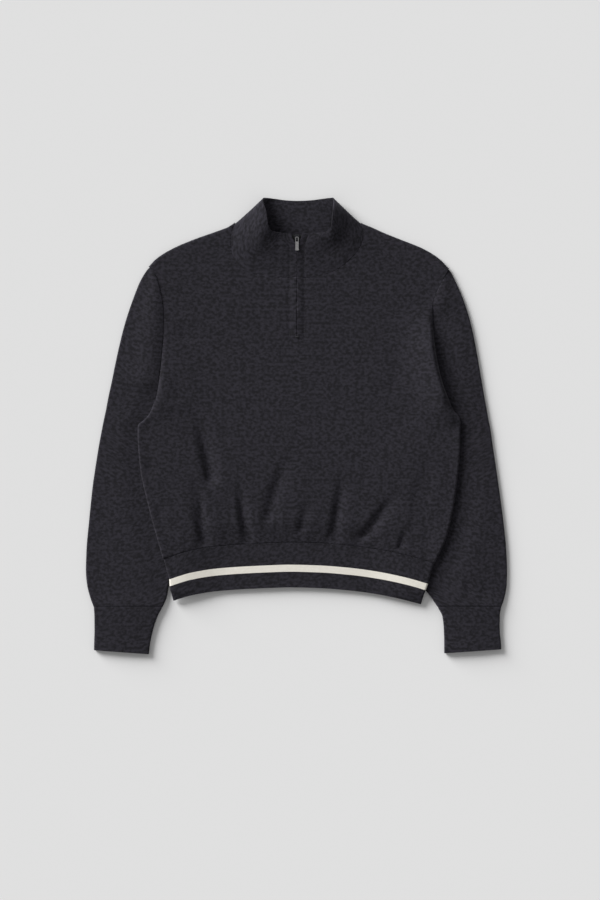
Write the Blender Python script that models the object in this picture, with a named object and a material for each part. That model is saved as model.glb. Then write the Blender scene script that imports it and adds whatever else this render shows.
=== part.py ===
"""A half-zip knitted pullover, laid flat on a table, seen from above with its collar at +Y.

Every cloth piece is a wall of real thickness round its middle surface. Lengths here are millimetres,
turned into metres where a mesh is made. X runs to the right, Y towards the collar, Z up from the table.
"""

import math
from collections import namedtuple

import bmesh
import bpy
import numpy as np
from mathutils import Matrix, Vector

MM = 0.001

# ---- driving sizes, in millimetres ---------------------------------------------------------------
WALL = 2.2  # knit of the body and the sleeves
BAND_WALL = 2.4  # doubled knit of cuffs, hem band and collar
SEAM_GAP = 0.3  # between two pieces that are sewn together
SEAM_RISE = 1.6  # of a sleeve's top from its flat height to the armhole seam
ARMHOLE_GAP = 1.2  # from a panel's edge to the cut edge of the sleeve beside it
FOLD_SEAM_GAP = 0.5  # between two middle surfaces that meet in the outline's fold
NECK_CLEARANCE = 0.9  # from the collar's seam line to the panel cut round it
FOLD_RADIUS = 1.5  # middle surface of a laid sleeve's or shoulder's fold
LEAST_SLANT = 0.25  # of a sleeve's ring to its fold, as a sine
SIDE_RADIUS = 2.0  # middle surface of the body's side folds
SLEEVE_FLAT = 2 * FOLD_RADIUS + WALL  # height of a sleeve where the body lies on it
LAYER_GAP = 1.4  # between the body and the sleeve under it
LIFT = SLEEVE_FLAT + LAYER_GAP  # how far the sleeve under it raises the body
CHEST_AIR = 2.4  # between front and back over the chest
BLOUSE_AIR = 4.2  # between them where the front blouses over the hem band
ARMHOLE_HEIGHT = 6.0  # middle surface at the armhole seam
ARMHOLE_ROLL = 11.0  # width over which the front rolls down to that seam
BAND_AIR = 1.4  # inside the hem band
CUFF_HEIGHT, CUFF_CROWN = 4.4, 1.4  # between a cuff's two middle surfaces
SLIT_WIDTH = 1.6  # between the two edges of the zip opening
SLIT_END_Y = 141.5  # the zip's lower stop
ZIP_X = -0.8
TAPE_WIDTH = 27.0
TAPE_THICKNESS = 1.0
PLACE_X, PLACE_Y = 1.7, -0.9  # brings the middle of the laid garment onto the origin

# ---- outlines of the laid garment -------------------------------------------------------------------
Edge = namedtuple("Edge", "y x")
LEFT_EDGE = (  # hem corner, side fold, underarm, armhole seam, shoulder tip
    Edge(-284, -197.0), Edge(-271, -200.3), Edge(-258, -203.8), Edge(-245, -204.8),
    Edge(-226, -209.8), Edge(-210, -214.0), Edge(-180, -222.6), Edge(-123, -237.9),
    Edge(-62, -250.6), Edge(-10, -254.0), Edge(2, -253.5), Edge(8, -246.0),
    Edge(15, -239.0), Edge(26, -232.5), Edge(51, -225.0), Edge(80, -220.5),
    Edge(112, -217.4), Edge(145, -214.7), Edge(174, -213.9), Edge(205, -216.5),
    Edge(230, -222.0), Edge(243, -227.5), Edge(254, -236.5), Edge(262, -245.0),
)
RIGHT_EDGE = (
    Edge(-284, 197.5), Edge(-271, 201.3), Edge(-258, 206.0), Edge(-245, 210.3),
    Edge(-226, 215.0), Edge(-210, 221.5), Edge(-180, 235.7), Edge(-142, 245.3),
    Edge(-95, 253.0), Edge(-31, 258.4), Edge(10, 259.0), Edge(16, 256.0),
    Edge(24, 249.0), Edge(36, 243.0), Edge(50, 238.2), Edge(70, 231.5),
    Edge(92, 225.8), Edge(120, 220.5), Edge(148, 217.6), Edge(175, 215.6),
    Edge(190, 215.4), Edge(210, 220.0), Edge(230, 229.5), Edge(243, 236.5),
    Edge(251, 241.0), Edge(262, 248.0),
)
LEFT_UNDERARM_Y, RIGHT_UNDERARM_Y = 17.0, 29.0  # where each armhole seam goes under the body's fold

Rise = namedtuple("Rise", "x y")
SHOULDER = (
    Rise(-250, 243.0), Rise(-236.5, 255.5), Rise(-226, 266.4), Rise(-201, 282.4),
    Rise(-164, 298.4), Rise(-137, 308.0), Rise(-119, 314.4), Rise(-110.7, 317.8),
    Rise(-102, 323.4), Rise(-96, 327.0), Rise(0, 327.0), Rise(97, 327.0),
    Rise(103.5, 323.4), Rise(111, 320.2), Rise(118, 317.4), Rise(139, 308.0),
    Rise(163, 298.4), Rise(202, 282.4), Rise(227, 266.4), Rise(240, 253.0), Rise(252, 241.0),
)
Level = namedtuple("Level", "x sag")
HEM_SAG = (  # how much lower the hem band lies towards its ends than at its middle
    Level(-240, 28.0), Level(-206, 23.5), Level(-189, 18.0), Level(-170, 12.6), Level(-128, 6.0),
    Level(-50, 1.2), Level(-12, 0.0), Level(34, 1.2), Level(87, 5.4), Level(130, 11.4),
    Level(165, 18.4), Level(190, 24.8), Level(206, 29.5), Level(245, 35.0),
)
BAND_TOP_Y = -186.4
BAND_BOTTOM_Y = -257.0

# ---- creases of the front: troughs that run up from the hem band ------------------------------------------
Crease = namedtuple("Crease", "x0 y0 x1 y1 x2 y2 depth width")
CREASES = (
    Crease(-149.6, -183, -157.4, -145, -165.0, -84, 2.6, 6.5),
    Crease(-141.9, -84, -148.0, -40, -163.2, 20, 2.6, 8.0),
    Crease(-81.3, -181, -89.0, -140, -94.1, -90, 2.4, 5.5),
    Crease(-47.2, -145, -35.0, -95, -13.0, -43, 1.5, 8.5),
    Crease(3.4, -165, 11.0, -140, 13.0, -112, 1.1, 6.5),
    Crease(53.3, -182, 62.9, -130, 72.5, -73, 2.1, 6.5),
    Crease(105.1, -174, 137.8, -130, 155.0, -101, 1.9, 8.5),
    Crease(160.8, -194, 168.6, -176, 171.0, -160, 1.4, 4.5),
    Crease(186.7, -192, 193.4, -121, 208.8, -50, 2.2, 7.5),
    Crease(204.0, -190, 210.0, -165, 212.6, -140, 1.1, 5.0),
)

# ---- sleeves: one row for each section from the armhole to the cuff --------------------------------------
Section = namedtuple("Section", "outer_x outer_y inner_x inner_y crown")
LEFT_SLEEVE = (
    Section(-229.5, 258.8, -190.0, 264.0, 1.9),
    Section(-238.2, 252.6, -192.0, 250.0, 1.9),
    Section(-249.5, 236.0, -196.0, 228.0, 2.6),
    Section(-263.4, 202.4, -200.0, 193.0, 3.2),
    Section(-277.5, 159.0, -203.0, 149.0, 3.4),
    Section(-290.5, 104.0, -206.0, 98.0, 3.4),
    Section(-297.4, 70.0, -211.0, 62.0, 3.4),
    Section(-302.2, 48.0, -219.0, 41.0, 3.4),
    Section(-306.4, 26.0, -230.0, 23.0, 3.4),
    Section(-309.6, 11.0, -236.3, 9.0, 3.4),
    Section(-313.0, -6.0, -231.8, -6.0, 3.4),
    Section(-316.4, -24.0, -214.5, -24.5, 3.4),
    Section(-320.0, -45.0, -196.5, -44.0, 3.4),
    Section(-324.0, -71.0, -185.0, -69.0, 3.4),
    Section(-327.6, -96.0, -178.5, -102.0, 3.4),
    Section(-333.2, -150.0, -186.0, -150.0, 3.5),
    Section(-337.3, -195.0, -195.5, -195.0, 3.6),
    Section(-338.4, -229.0, -202.0, -230.0, 3.6),
    Section(-336.6, -252.0, -206.0, -255.0, 3.4),
    Section(-331.0, -274.5, -209.0, -273.0, 2.8),
    Section(-326.0, -288.0, -215.5, -288.0, 1.2),
)
RIGHT_SLEEVE = (
    Section(234.6, 255.8, 192.0, 261.0, 1.5),
    Section(243.4, 249.2, 194.0, 247.0, 1.5),
    Section(252.5, 232.0, 198.0, 226.0, 2.4),
    Section(265.4, 202.4, 202.0, 193.0, 3.1),
    Section(278.5, 159.0, 205.0, 149.0, 3.4),
    Section(289.2, 104.0, 210.0, 100.0, 3.4),
    Section(294.6, 72.0, 218.0, 68.0, 3.4),
    Section(298.7, 48.0, 229.5, 50.0, 3.4),
    Section(302.4, 28.0, 239.5, 34.0, 3.4),
    Section(305.2, 12.0, 243.7, 20.0, 3.4),
    Section(308.4, -4.0, 239.0, 6.0, 3.4),
    Section(311.0, -22.0, 226.0, -12.0, 3.4),
    Section(313.2, -38.0, 210.0, -29.0, 3.4),
    Section(316.0, -56.0, 195.0, -47.0, 3.4),
    Section(318.6, -74.0, 184.0, -68.0, 3.4),
    Section(321.8, -96.0, 177.0, -102.0, 3.4),
    Section(329.0, -150.0, 183.0, -148.0, 3.5),
    Section(333.6, -195.0, 192.5, -194.0, 3.6),
    Section(335.0, -229.0, 199.5, -230.0, 3.6),
    Section(334.5, -252.0, 202.5, -256.0, 3.4),
    Section(330.6, -274.5, 213.5, -273.0, 2.8),
    Section(326.0, -288.0, 223.8, -288.0, 1.2),
)
SLEEVE_CREASES = (  # small gathers above the right cuff
    Crease(274.4, -266, 270.0, -250, 266.4, -236, 1.2, 4.5),
    Crease(292.0, -282, 297.0, -268, 301.6, -252, 1.2, 4.5),
)

# ---- cuffs: their four corners -------------------------------------------------------------------------
Corner = namedtuple("Corner", "outer_x outer_y inner_x inner_y")
LEFT_CUFF = (
    Corner(-325.7, -288.6, -215.9, -288.6), Corner(-324.7, -304.0, -224.0, -304.0),
    Corner(-324.6, -326.0, -231.5, -327.5), Corner(-325.1, -345.0, -235.8, -348.0),
    Corner(-325.4, -357.4, -237.6, -363.8),
)
RIGHT_CUFF = (
    Corner(325.7, -288.6, 224.1, -288.6), Corner(323.4, -304.0, 231.7, -304.0),
    Corner(323.3, -326.0, 234.0, -327.5), Corner(325.0, -343.0, 234.5, -346.5),
    Corner(325.8, -356.0, 234.5, -362.4),
)

# ---- collar: from the zip round the left side, the back and the right side to the zip --------------------
Stand = namedtuple("Stand", "seam_x seam_y seam_z rim_x rim_y rim_z hollow")
COLLAR = (
    Stand(-1.6, 239.2, 5.7, -1.6, 308.0, 13.4, 0.0),
    Stand(-14.0, 239.3, 5.7, -11.0, 308.2, 13.6, 0.0),
    Stand(-30.0, 239.6, 5.7, -20.5, 308.6, 14.2, 0.2),
    Stand(-56.0, 241.9, 5.7, -32.0, 309.4, 15.8, 0.6),
    Stand(-81.0, 248.6, 5.8, -40.0, 311.4, 18.6, 0.8),
    Stand(-96.5, 261.4, 6.0, -44.6, 315.6, 22.4, 1.0),
    Stand(-103.6, 278.6, 6.0, -46.9, 322.4, 25.0, 1.0),
    Stand(-105.0, 296.0, 6.0, -48.4, 332.0, 26.4, 1.0),
    Stand(-103.6, 311.0, 5.8, -50.4, 344.0, 26.0, 0.8),
    Stand(-101.0, 320.6, 5.2, -53.4, 353.4, 22.4, 0.4),
    Stand(-98.2, 323.6, 3.4, -55.0, 360.6, 15.6, 0.0),
    Stand(-95.4, 319.4, 1.6, -52.2, 364.2, 9.6, 0.0),
    Stand(-84.0, 313.6, 1.3, -46.0, 364.6, 6.6, 0.0),
    Stand(-60.0, 306.4, 1.2, -36.0, 363.8, 4.4, 0.0),
    Stand(-30.0, 302.0, 1.2, -20.0, 361.6, 3.2, 0.0),
    Stand(0.0, 300.6, 1.2, -0.6, 360.6, 2.8, 0.0),
    Stand(30.0, 302.0, 1.2, 20.0, 361.4, 3.2, 0.0),
    Stand(60.0, 306.4, 1.2, 37.0, 363.4, 4.4, 0.0),
    Stand(85.0, 313.6, 1.3, 48.0, 364.6, 7.0, 0.0),
    Stand(96.8, 319.4, 1.6, 54.4, 364.6, 10.4, 0.0),
    Stand(99.8, 323.6, 3.4, 57.8, 361.2, 16.4, 0.4),
    Stand(102.0, 320.4, 5.2, 57.4, 353.6, 23.4, 1.2),
    Stand(103.2, 311.0, 5.8, 56.4, 344.0, 27.0, 2.2),
    Stand(102.0, 297.0, 6.0, 55.2, 332.0, 27.4, 3.0),
    Stand(94.6, 281.6, 6.0, 54.2, 322.4, 26.0, 3.2),
    Stand(81.4, 267.0, 6.0, 51.8, 315.4, 23.0, 2.8),
    Stand(65.0, 253.8, 5.8, 46.4, 311.0, 19.0, 1.8),
    Stand(46.6, 245.4, 5.7, 37.0, 309.2, 16.0, 0.8),
    Stand(24.0, 240.4, 5.7, 23.0, 308.6, 14.4, 0.2),
    Stand(9.0, 239.2, 5.7, 11.0, 308.2, 13.6, 0.0),
    Stand(0.0, 239.2, 5.7, 0.0, 308.0, 13.4, 0.0),
)
COLLAR_BACK_FIRST, COLLAR_BACK_LAST = 10, 20  # the rows between the two shoulder folds
HOLLOW_AT, HOLLOW_WIDTH = 0.5, 0.2  # where up the collar its outside sinks in
NOTCH_FROM = 0.66  # up the collar, where the zip's edges start to part
NOTCH_LEFT, NOTCH_RIGHT = 9.0, 8.0
NOTCH_STANDS = 3.2  # over this many rows the parting fades out

# ---- zip ------------------------------------------------------------------------------------------------
SLIDER_Y = 302.0
SLIDER_LENGTH, SLIDER_WIDTH, SLIDER_THICKNESS = 10.0, 7.4, 2.6
CROWN_LENGTH, CROWN_WIDTH, CROWN_HEIGHT = 7.0, 2.2, 3.9
CROWN_EYE_LENGTH, CROWN_EYE_HEIGHT = 3.4, 2.6
TAB_LENGTH, TAB_WIDTH, TAB_THICKNESS = 22.0, 6.8, 1.2
TAB_WINDOW_LENGTH, TAB_WINDOW_WIDTH = 6.6, 3.4
TAB_EXTRA_TILT = 1.6  # degrees more than the slider, so that its end comes down to the cloth

# ---- how finely the walls are divided -----------------------------------------------------------------
FRONT_COLUMNS = [i / 43 for i in range(1, 43)]
BACK_COLUMNS = [0.025, 0.05, 0.075, 0.1, 0.125, 0.155, 0.2, 0.33, 0.5]
BACK_COLUMNS += [1 - t for t in reversed(BACK_COLUMNS[:-1])]
BAND_COLUMNS = [t for i, t in enumerate(FRONT_COLUMNS) if i % 2 == 0 or not 0.15 < t < 0.85]
PANEL_ROWS = (0.0, 0.02, 0.065, 0.12, 0.18, 0.25, 0.31, 0.36, 0.395, 0.43, 0.46, 0.49, 0.52)
PANEL_ROWS += (0.56, 0.62, 0.70, 0.78, 0.86, 0.93, 0.975)
SLEEVE_RINGS = 26
SLEEVE_OVER = [i / 13 for i in range(1, 13)]
SLEEVE_UNDER = [0.15, 0.4, 0.65, 0.85]
CUFF_ACROSS = 7
COLLAR_COLUMNS, COLLAR_ROWS = 60, 8

# ---- colours --------------------------------------------------------------------------------------------
CHARCOAL = (0.022, 0.021, 0.026)
CHARCOAL_BAND = (0.018, 0.018, 0.022)
TAPE_BLACK = (0.012, 0.012, 0.014)
METAL = (0.80, 0.80, 0.82)


class Curve:
    """A smooth curve through the rows of a table, with no swing past them."""

    def __init__(self, rows, along, value):
        self.at = np.array([getattr(row, along) for row in rows], float)
        self.value = np.array([getattr(row, value) for row in rows], float)
        step = np.diff(self.at)
        rise = np.diff(self.value) / step
        slope = np.zeros(len(rows))
        slope[0], slope[-1] = rise[0], rise[-1]
        same_way = rise[:-1] * rise[1:] > 0
        before, after = 2 * step[1:] + step[:-1], step[1:] + 2 * step[:-1]
        safe = np.where(rise == 0, 1.0, rise)
        shared = np.where(same_way, before / safe[:-1] + after / safe[1:], 1.0)
        mean = (before + after) / shared
        slope[1:-1] = np.where(same_way, mean, 0.0)
        self.slope = slope

    def __call__(self, where):
        where = np.clip(where, self.at[0], self.at[-1])
        i = np.clip(np.searchsorted(self.at, where) - 1, 0, len(self.at) - 2)
        width = self.at[i + 1] - self.at[i]
        t = (where - self.at[i]) / width
        return (
            (1 + 2 * t) * (1 - t) ** 2 * self.value[i]
            + t * (1 - t) ** 2 * width * self.slope[i]
            + t * t * (3 - 2 * t) * self.value[i + 1]
            + t * t * (t - 1) * width * self.slope[i + 1]
        )


left_edge = Curve(LEFT_EDGE, "y", "x")
right_edge = Curve(RIGHT_EDGE, "y", "x")
shoulder = Curve(SHOULDER, "x", "y")
hem_sag = Curve(HEM_SAG, "x", "sag")


def ease(t):
    """0 up to 0, 1 from 1 on, and smooth between."""
    t = np.clip(t, 0.0, 1.0)
    return t * t * (3 - 2 * t)


def fold(distance, radius):
    """Height of a round fold above its middle, from 0 at its edge to 1 where it ends."""
    inward = np.clip(distance / radius, 0.0, 1.0)
    return np.sqrt(1 - (1 - inward) ** 2)


def trough(creases, x, y):
    """Depth of the creases at a point: deepest where each starts, shallower as it runs out."""
    depth = 0.0
    for crease in creases:
        along = (y - crease.y0) / (crease.y2 - crease.y0)
        middle = (crease.y1 - crease.y0) / (crease.y2 - crease.y0)
        bend = crease.x1 - (crease.x0 + (crease.x2 - crease.x0) * middle)
        centre = crease.x0 + (crease.x2 - crease.x0) * along
        centre += bend * (1 - ((along - middle) / max(middle, 1 - middle)) ** 2)
        reach = ease((along + 0.16) / 0.2) * ease((1.08 - along) / 0.75)
        depth += crease.depth * reach * np.exp(-(((x - centre) / crease.width) ** 2))
    return depth


# ---- the body ---------------------------------------------------------------------------------------------
def hidden_edge(sections, underarm_y, armhole):
    """Inner edge of the part of a sleeve that the body covers, as a curve over Y."""
    rows = [Edge(s.inner_y, s.inner_x) for s in reversed(sections[:-2]) if s.inner_y < underarm_y - 4]
    rows += [Edge(underarm_y + d, float(armhole(underarm_y + d))) for d in (0, 12, 30, 60)]
    return Curve(sorted(rows, key=lambda row: row.y), "y", "x")


left_hidden = hidden_edge(LEFT_SLEEVE, LEFT_UNDERARM_Y, left_edge)
right_hidden = hidden_edge(RIGHT_SLEEVE, RIGHT_UNDERARM_Y, right_edge)
LIFT_MARGIN = 11.0  # the body keeps its full height so far past the sleeve's edge
LIFT_RUN = 20.0  # over this width the body comes down from the sleeve to the table
LIFT_FADE_ABOVE, LIFT_FADE_BELOW = 40.0, 30.0
SLEEVE_CROSSES_HEM_Y = -260.0


def lift(x, y):
    """How far the sleeves under the body raise it."""
    below = ease(1 + (y - SLEEVE_CROSSES_HEM_Y) / LIFT_FADE_BELOW)
    left = ease((left_hidden(y) + LIFT_MARGIN + LIFT_RUN - x) / LIFT_RUN)
    left = left * ease((LEFT_UNDERARM_Y + 14 + LIFT_FADE_ABOVE - y) / LIFT_FADE_ABOVE)
    right = ease((x - right_hidden(y) + LIFT_MARGIN + LIFT_RUN) / LIFT_RUN)
    right = right * ease((RIGHT_UNDERARM_Y + 14 + LIFT_FADE_ABOVE - y) / LIFT_FADE_ABOVE)
    return LIFT * below * np.maximum(left, right)


def back_middle(x, y):
    """Height of the back's middle surface away from its edges."""
    return WALL / 2 + lift(x, y)


def band_top(x):
    """Y of the line where the hem band is sewn on."""
    return BAND_TOP_Y - hem_sag(x)


def front_middle(x, y):
    """Height of the front's middle surface away from its edges."""
    up = y - band_top(x)
    blouse = ease(up / 26.0) * ease((210.0 - up) / 150.0)
    air = CHEST_AIR + (BLOUSE_AIR - CHEST_AIR) * blouse
    return back_middle(x, y) + WALL + air - trough(CREASES, x, y) * ease(up / 5.0)


def armhole_share(y, underarm_y):
    """0 along the side fold, 1 along the armhole seam."""
    return ease((y - underarm_y) / 24.0)


def panel_grid(columns, is_front):
    """Points of the front's or the back's middle surface, by column from the left and row from the hem."""
    corner = [SIDE_RADIUS * (1 - math.cos(math.radians(a))) for a in (0, 10, 36, 62, 90)]
    across = [("left", d) for d in corner]
    across += [("between", t) for t in columns]
    across += [("right", d) for d in reversed(corner)]
    top_corner = [FOLD_RADIUS * (1 - math.cos(math.radians(a))) for a in (90, 60, 30, 10, 0)]
    up = [("between", t) for t in PANEL_ROWS] + [("top", d) for d in top_corner]

    grid = []
    for side, amount in across:
        bottom, top = column_ends(side, amount)
        column = []
        for kind, value in up:
            y = top - value if kind == "top" else bottom + (top - FOLD_RADIUS - bottom) * value
            x = across_panel(side, amount, y)
            column.append((x, y, panel_height(x, y, top - y, is_front)))
        grid.append(column)
    return grid


def across_panel(side, amount, y):
    """X of a column: so far from the left or the right edge, or this share of the way between."""
    left, right = float(left_edge(y)), float(right_edge(y))
    if side == "left":
        return left + amount
    if side == "right":
        return right - amount
    return (left + SIDE_RADIUS) * (1 - amount) + (right - SIDE_RADIUS) * amount


def meet(side, amount, line, low, high):
    """Y at which a column crosses the line y = line(x)."""
    for _ in range(40):
        middle = (low + high) / 2
        if middle < line(across_panel(side, amount, middle)):
            low = middle
        else:
            high = middle
    return (low + high) / 2


def column_ends(side, amount):
    bottom = meet(side, amount, band_top, -240.0, -150.0) + SEAM_GAP
    return bottom, meet(side, amount, shoulder, 200.0, 340.0)


def armhole_rows(side, underarm_y):
    """Y of the panels' points along an armhole, from the shoulder down."""
    bottom, top = column_ends(side, 0.0)
    rows = [bottom + (top - FOLD_RADIUS - bottom) * t for t in PANEL_ROWS]
    return [y for y in reversed(rows) if y > underarm_y + 3]


def panel_height(x, y, below_shoulder, is_front):
    """Height of a panel's middle surface, with its edges rolled to the seams."""
    from_left, from_right = x - float(left_edge(y)), float(right_edge(y)) - x
    underarm_y = LEFT_UNDERARM_Y if from_left < from_right else RIGHT_UNDERARM_Y
    inward = max(min(from_left, from_right), 0.0)
    below_shoulder = max(below_shoulder, 0.0)
    back, front = float(back_middle(x, y)), float(front_middle(x, y))
    side_top = back + 2 * SIDE_RADIUS
    seam = (back + side_top) / 2
    open_share = float(armhole_share(y, underarm_y))
    if is_front:
        near_side = float(ease(inward / 14.0))
        armhole_edge = max(ARMHOLE_HEIGHT, back + WALL + 2 * SEAM_GAP)
        edge = (seam + FOLD_SEAM_GAP / 2) * (1 - open_share) + armhole_edge * open_share
        round_side = float(fold(inward, SIDE_RADIUS))
        roll = float(ease(inward / ARMHOLE_ROLL))
        blend = round_side * (1 - open_share) + roll * open_share
        top = side_top * (1 - near_side) + front * near_side
        top = top * (1 - open_share) + front * open_share
        height = edge + (top - edge) * blend
        shoulder_seam = WALL / 2 + FOLD_RADIUS + FOLD_SEAM_GAP / 2
        return shoulder_seam + (height - shoulder_seam) * float(fold(below_shoulder, FOLD_RADIUS))
    edge = (seam - FOLD_SEAM_GAP / 2) * (1 - open_share) + back * open_share
    height = edge + (back - edge) * float(fold(inward, SIDE_RADIUS))
    shoulder_seam = WALL / 2 + FOLD_RADIUS - FOLD_SEAM_GAP / 2
    return shoulder_seam + (height - shoulder_seam) * float(fold(below_shoulder, FOLD_RADIUS))


# ---- meshes -----------------------------------------------------------------------------------------------
def material(name, colour, roughness, metallic):
    made = bpy.data.materials.new(name)
    made.use_nodes = True
    shader = made.node_tree.nodes["Principled BSDF"]
    shader.inputs["Base Color"].default_value = (*colour, 1.0)
    shader.inputs["Roughness"].default_value = roughness
    shader.inputs["Metallic"].default_value = metallic
    return made


def show(mesh, name, finish):
    """Puts a mesh in the scene as a smooth-shaded object with its material."""
    thing = bpy.data.objects.new(name, mesh)
    bpy.context.scene.collection.objects.link(thing)
    mesh.materials.append(finish)
    mesh.shade_smooth()
    mesh.set_sharp_from_angle(angle=math.radians(40))
    return thing


def placed(x, y, z):
    return ((x + PLACE_X) * MM, (y + PLACE_Y) * MM, z * MM)


def wall(name, grid, thickness, finish, closed=False):
    """A wall round the middle surface that a grid of points gives, column by column."""
    mesh = bpy.data.meshes.new(name)
    columns, rows = len(grid), len(grid[0])
    points = [placed(*point) for column in grid for point in column]
    faces = []
    for i in range(columns if closed else columns - 1):
        for j in range(rows - 1):
            here, there = i * rows, (i + 1) % columns * rows
            faces.append((here + j, there + j, there + j + 1, here + j + 1))
    mesh.from_pydata(points, [], faces)
    thing = show(mesh, name, finish)
    solid = thing.modifiers.new("thickness", "SOLIDIFY")
    solid.thickness = thickness * MM
    solid.offset = 0.0
    solid.use_even_offset = False
    return thing


def prism(name, outline, low, high):
    """An upright block to cut with, from its outline in plan, hidden from renders."""
    mesh = bpy.data.meshes.new(name)
    shape = bmesh.new()
    base = [shape.verts.new(placed(x, y, low)) for x, y in outline]
    face = shape.faces.new(base)
    raised = bmesh.ops.extrude_face_region(shape, geom=[face])["geom"]
    corners = [v for v in raised if isinstance(v, bmesh.types.BMVert)]
    bmesh.ops.translate(shape, verts=corners, vec=(0, 0, (high - low) * MM))
    bmesh.ops.recalc_face_normals(shape, faces=shape.faces)
    shape.to_mesh(mesh)
    shape.free()
    block = bpy.data.objects.new(name, mesh)
    bpy.context.scene.collection.objects.link(block)
    block.hide_render = True
    block.display_type = "WIRE"
    return block


def cut(thing, cutter):
    away = thing.modifiers.new("cut " + cutter.name, "BOOLEAN")
    away.operation = "DIFFERENCE"
    away.object = cutter
    away.solver = "EXACT"


def moved_out(line, distance):
    """An open line of points moved sideways, to the right of the way it runs."""
    path = np.array(line, float)
    along = np.gradient(path, axis=0)
    along /= np.linalg.norm(along, axis=1)[:, None]
    return path + np.stack([along[:, 1], -along[:, 0]], axis=1) * distance


# ---- the pieces ---------------------------------------------------------------------------------------------
def neck_cutter(name, line):
    """Takes a panel away inside the collar's seam line, which runs from left to right."""
    along = np.linspace(-1.0, 1.0, len(line))
    clear = moved_out(line, (NECK_CLEARANCE + 0.8 * np.abs(along) ** 3)[:, None])
    first, last = clear[0], clear[-1]
    outline = [(first[0] - 1.7, 360.0), (first[0] - 1.7, first[1] + 1.1), *map(tuple, clear)]
    outline += [(last[0] + 1.7, last[1] + 1.1), (last[0] + 1.7, 360.0)]
    return prism(name, outline, -20.0, 60.0)


def panels(knit):
    step = (len(COLLAR) - 1) / COLLAR_COLUMNS
    seam = [collar_point(i * step, 0.0)[:2] for i in range(COLLAR_COLUMNS + 1)]
    back_from, back_to = round(COLLAR_BACK_FIRST / step), round(COLLAR_BACK_LAST / step)
    front_line = list(reversed(seam[: back_from + 1])) + list(reversed(seam[back_to:]))
    back_line = seam[back_from : back_to + 1]
    front = wall("front_panel", panel_grid(FRONT_COLUMNS, True), WALL, knit)
    cut(front, neck_cutter("front_neck", front_line))
    half = SLIT_WIDTH / 2
    slit = [(ZIP_X - half, SLIT_END_Y), (ZIP_X + half, SLIT_END_Y)]
    slit += [(ZIP_X + half, 260.0), (ZIP_X - half, 260.0)]
    cut(front, prism("zip_slit", slit, -20.0, 60.0))
    back = wall("back_panel", panel_grid(BACK_COLUMNS, False), WALL, knit)
    cut(back, neck_cutter("back_neck", back_line))


def flat_tube(outer, inner, top, bottom, radius, thickness, across, below, slants=(1.0, 1.0)):
    """One ring of a laid tube's middle surface: over the top from its outer edge to its inner, and back below.

    across and below are the shares of its flat stretch at which the top and the underside have points. slants
    are the sines of the angles at which the ring meets the tube's two edges: a slanting ring has longer folds.
    """
    outer, inner = np.array(outer, float), np.array(inner, float)
    length = np.linalg.norm(inner - outer)
    insets = [thickness / 2 / length / slant for slant in slants]
    leads = [radius / length / slant for slant in slants]
    ends = [insets[0] + leads[0], 1 - insets[1] - leads[1]]
    over = [ends[0] + (ends[1] - ends[0]) * w for w in (0.0, *across, 1.0)]
    under = [ends[0] + (ends[1] - ends[0]) * w for w in (0.0, *below, 1.0)]

    def point(w, level):
        """A point w of the way across, at 0 on the underside, at 1 on top."""
        x, y = outer + (inner - outer) * w
        low, high = bottom(x, y), top(w, x, y)
        return (x, y, low + (high - low) * level)

    def round_edge(angles, side):
        ring = []
        for angle in angles:
            turn = math.radians(angle)
            inward = insets[side] + leads[side] * (1 - math.cos(turn))
            ring.append(point(1 - inward if side else inward, (1 + math.sin(turn)) / 2))
        return ring

    ring = round_edge((-60, -30, 0, 30, 60), 0) + [point(w, 1.0) for w in over]
    ring += round_edge((60, 30, 0, -30, -60), 1) + [point(w, 0.0) for w in reversed(under)]
    return ring


def slant(curves, k, end):
    """Sine of the angle between a sleeve's ring and its outer (end 0) or inner (end 2) edge."""
    before, after = [[float(c(k + d)) for c in curves[end : end + 2]] for d in (-0.35, 0.35)]
    edge = np.array(after) - before
    ring = np.array([float(curves[i + 2](k) - curves[i](k)) for i in (0, 1)])
    turned = abs(edge[0] * ring[1] - edge[1] * ring[0])
    return max(turned / (np.linalg.norm(edge) * np.linalg.norm(ring)), LEAST_SLANT)


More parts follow.
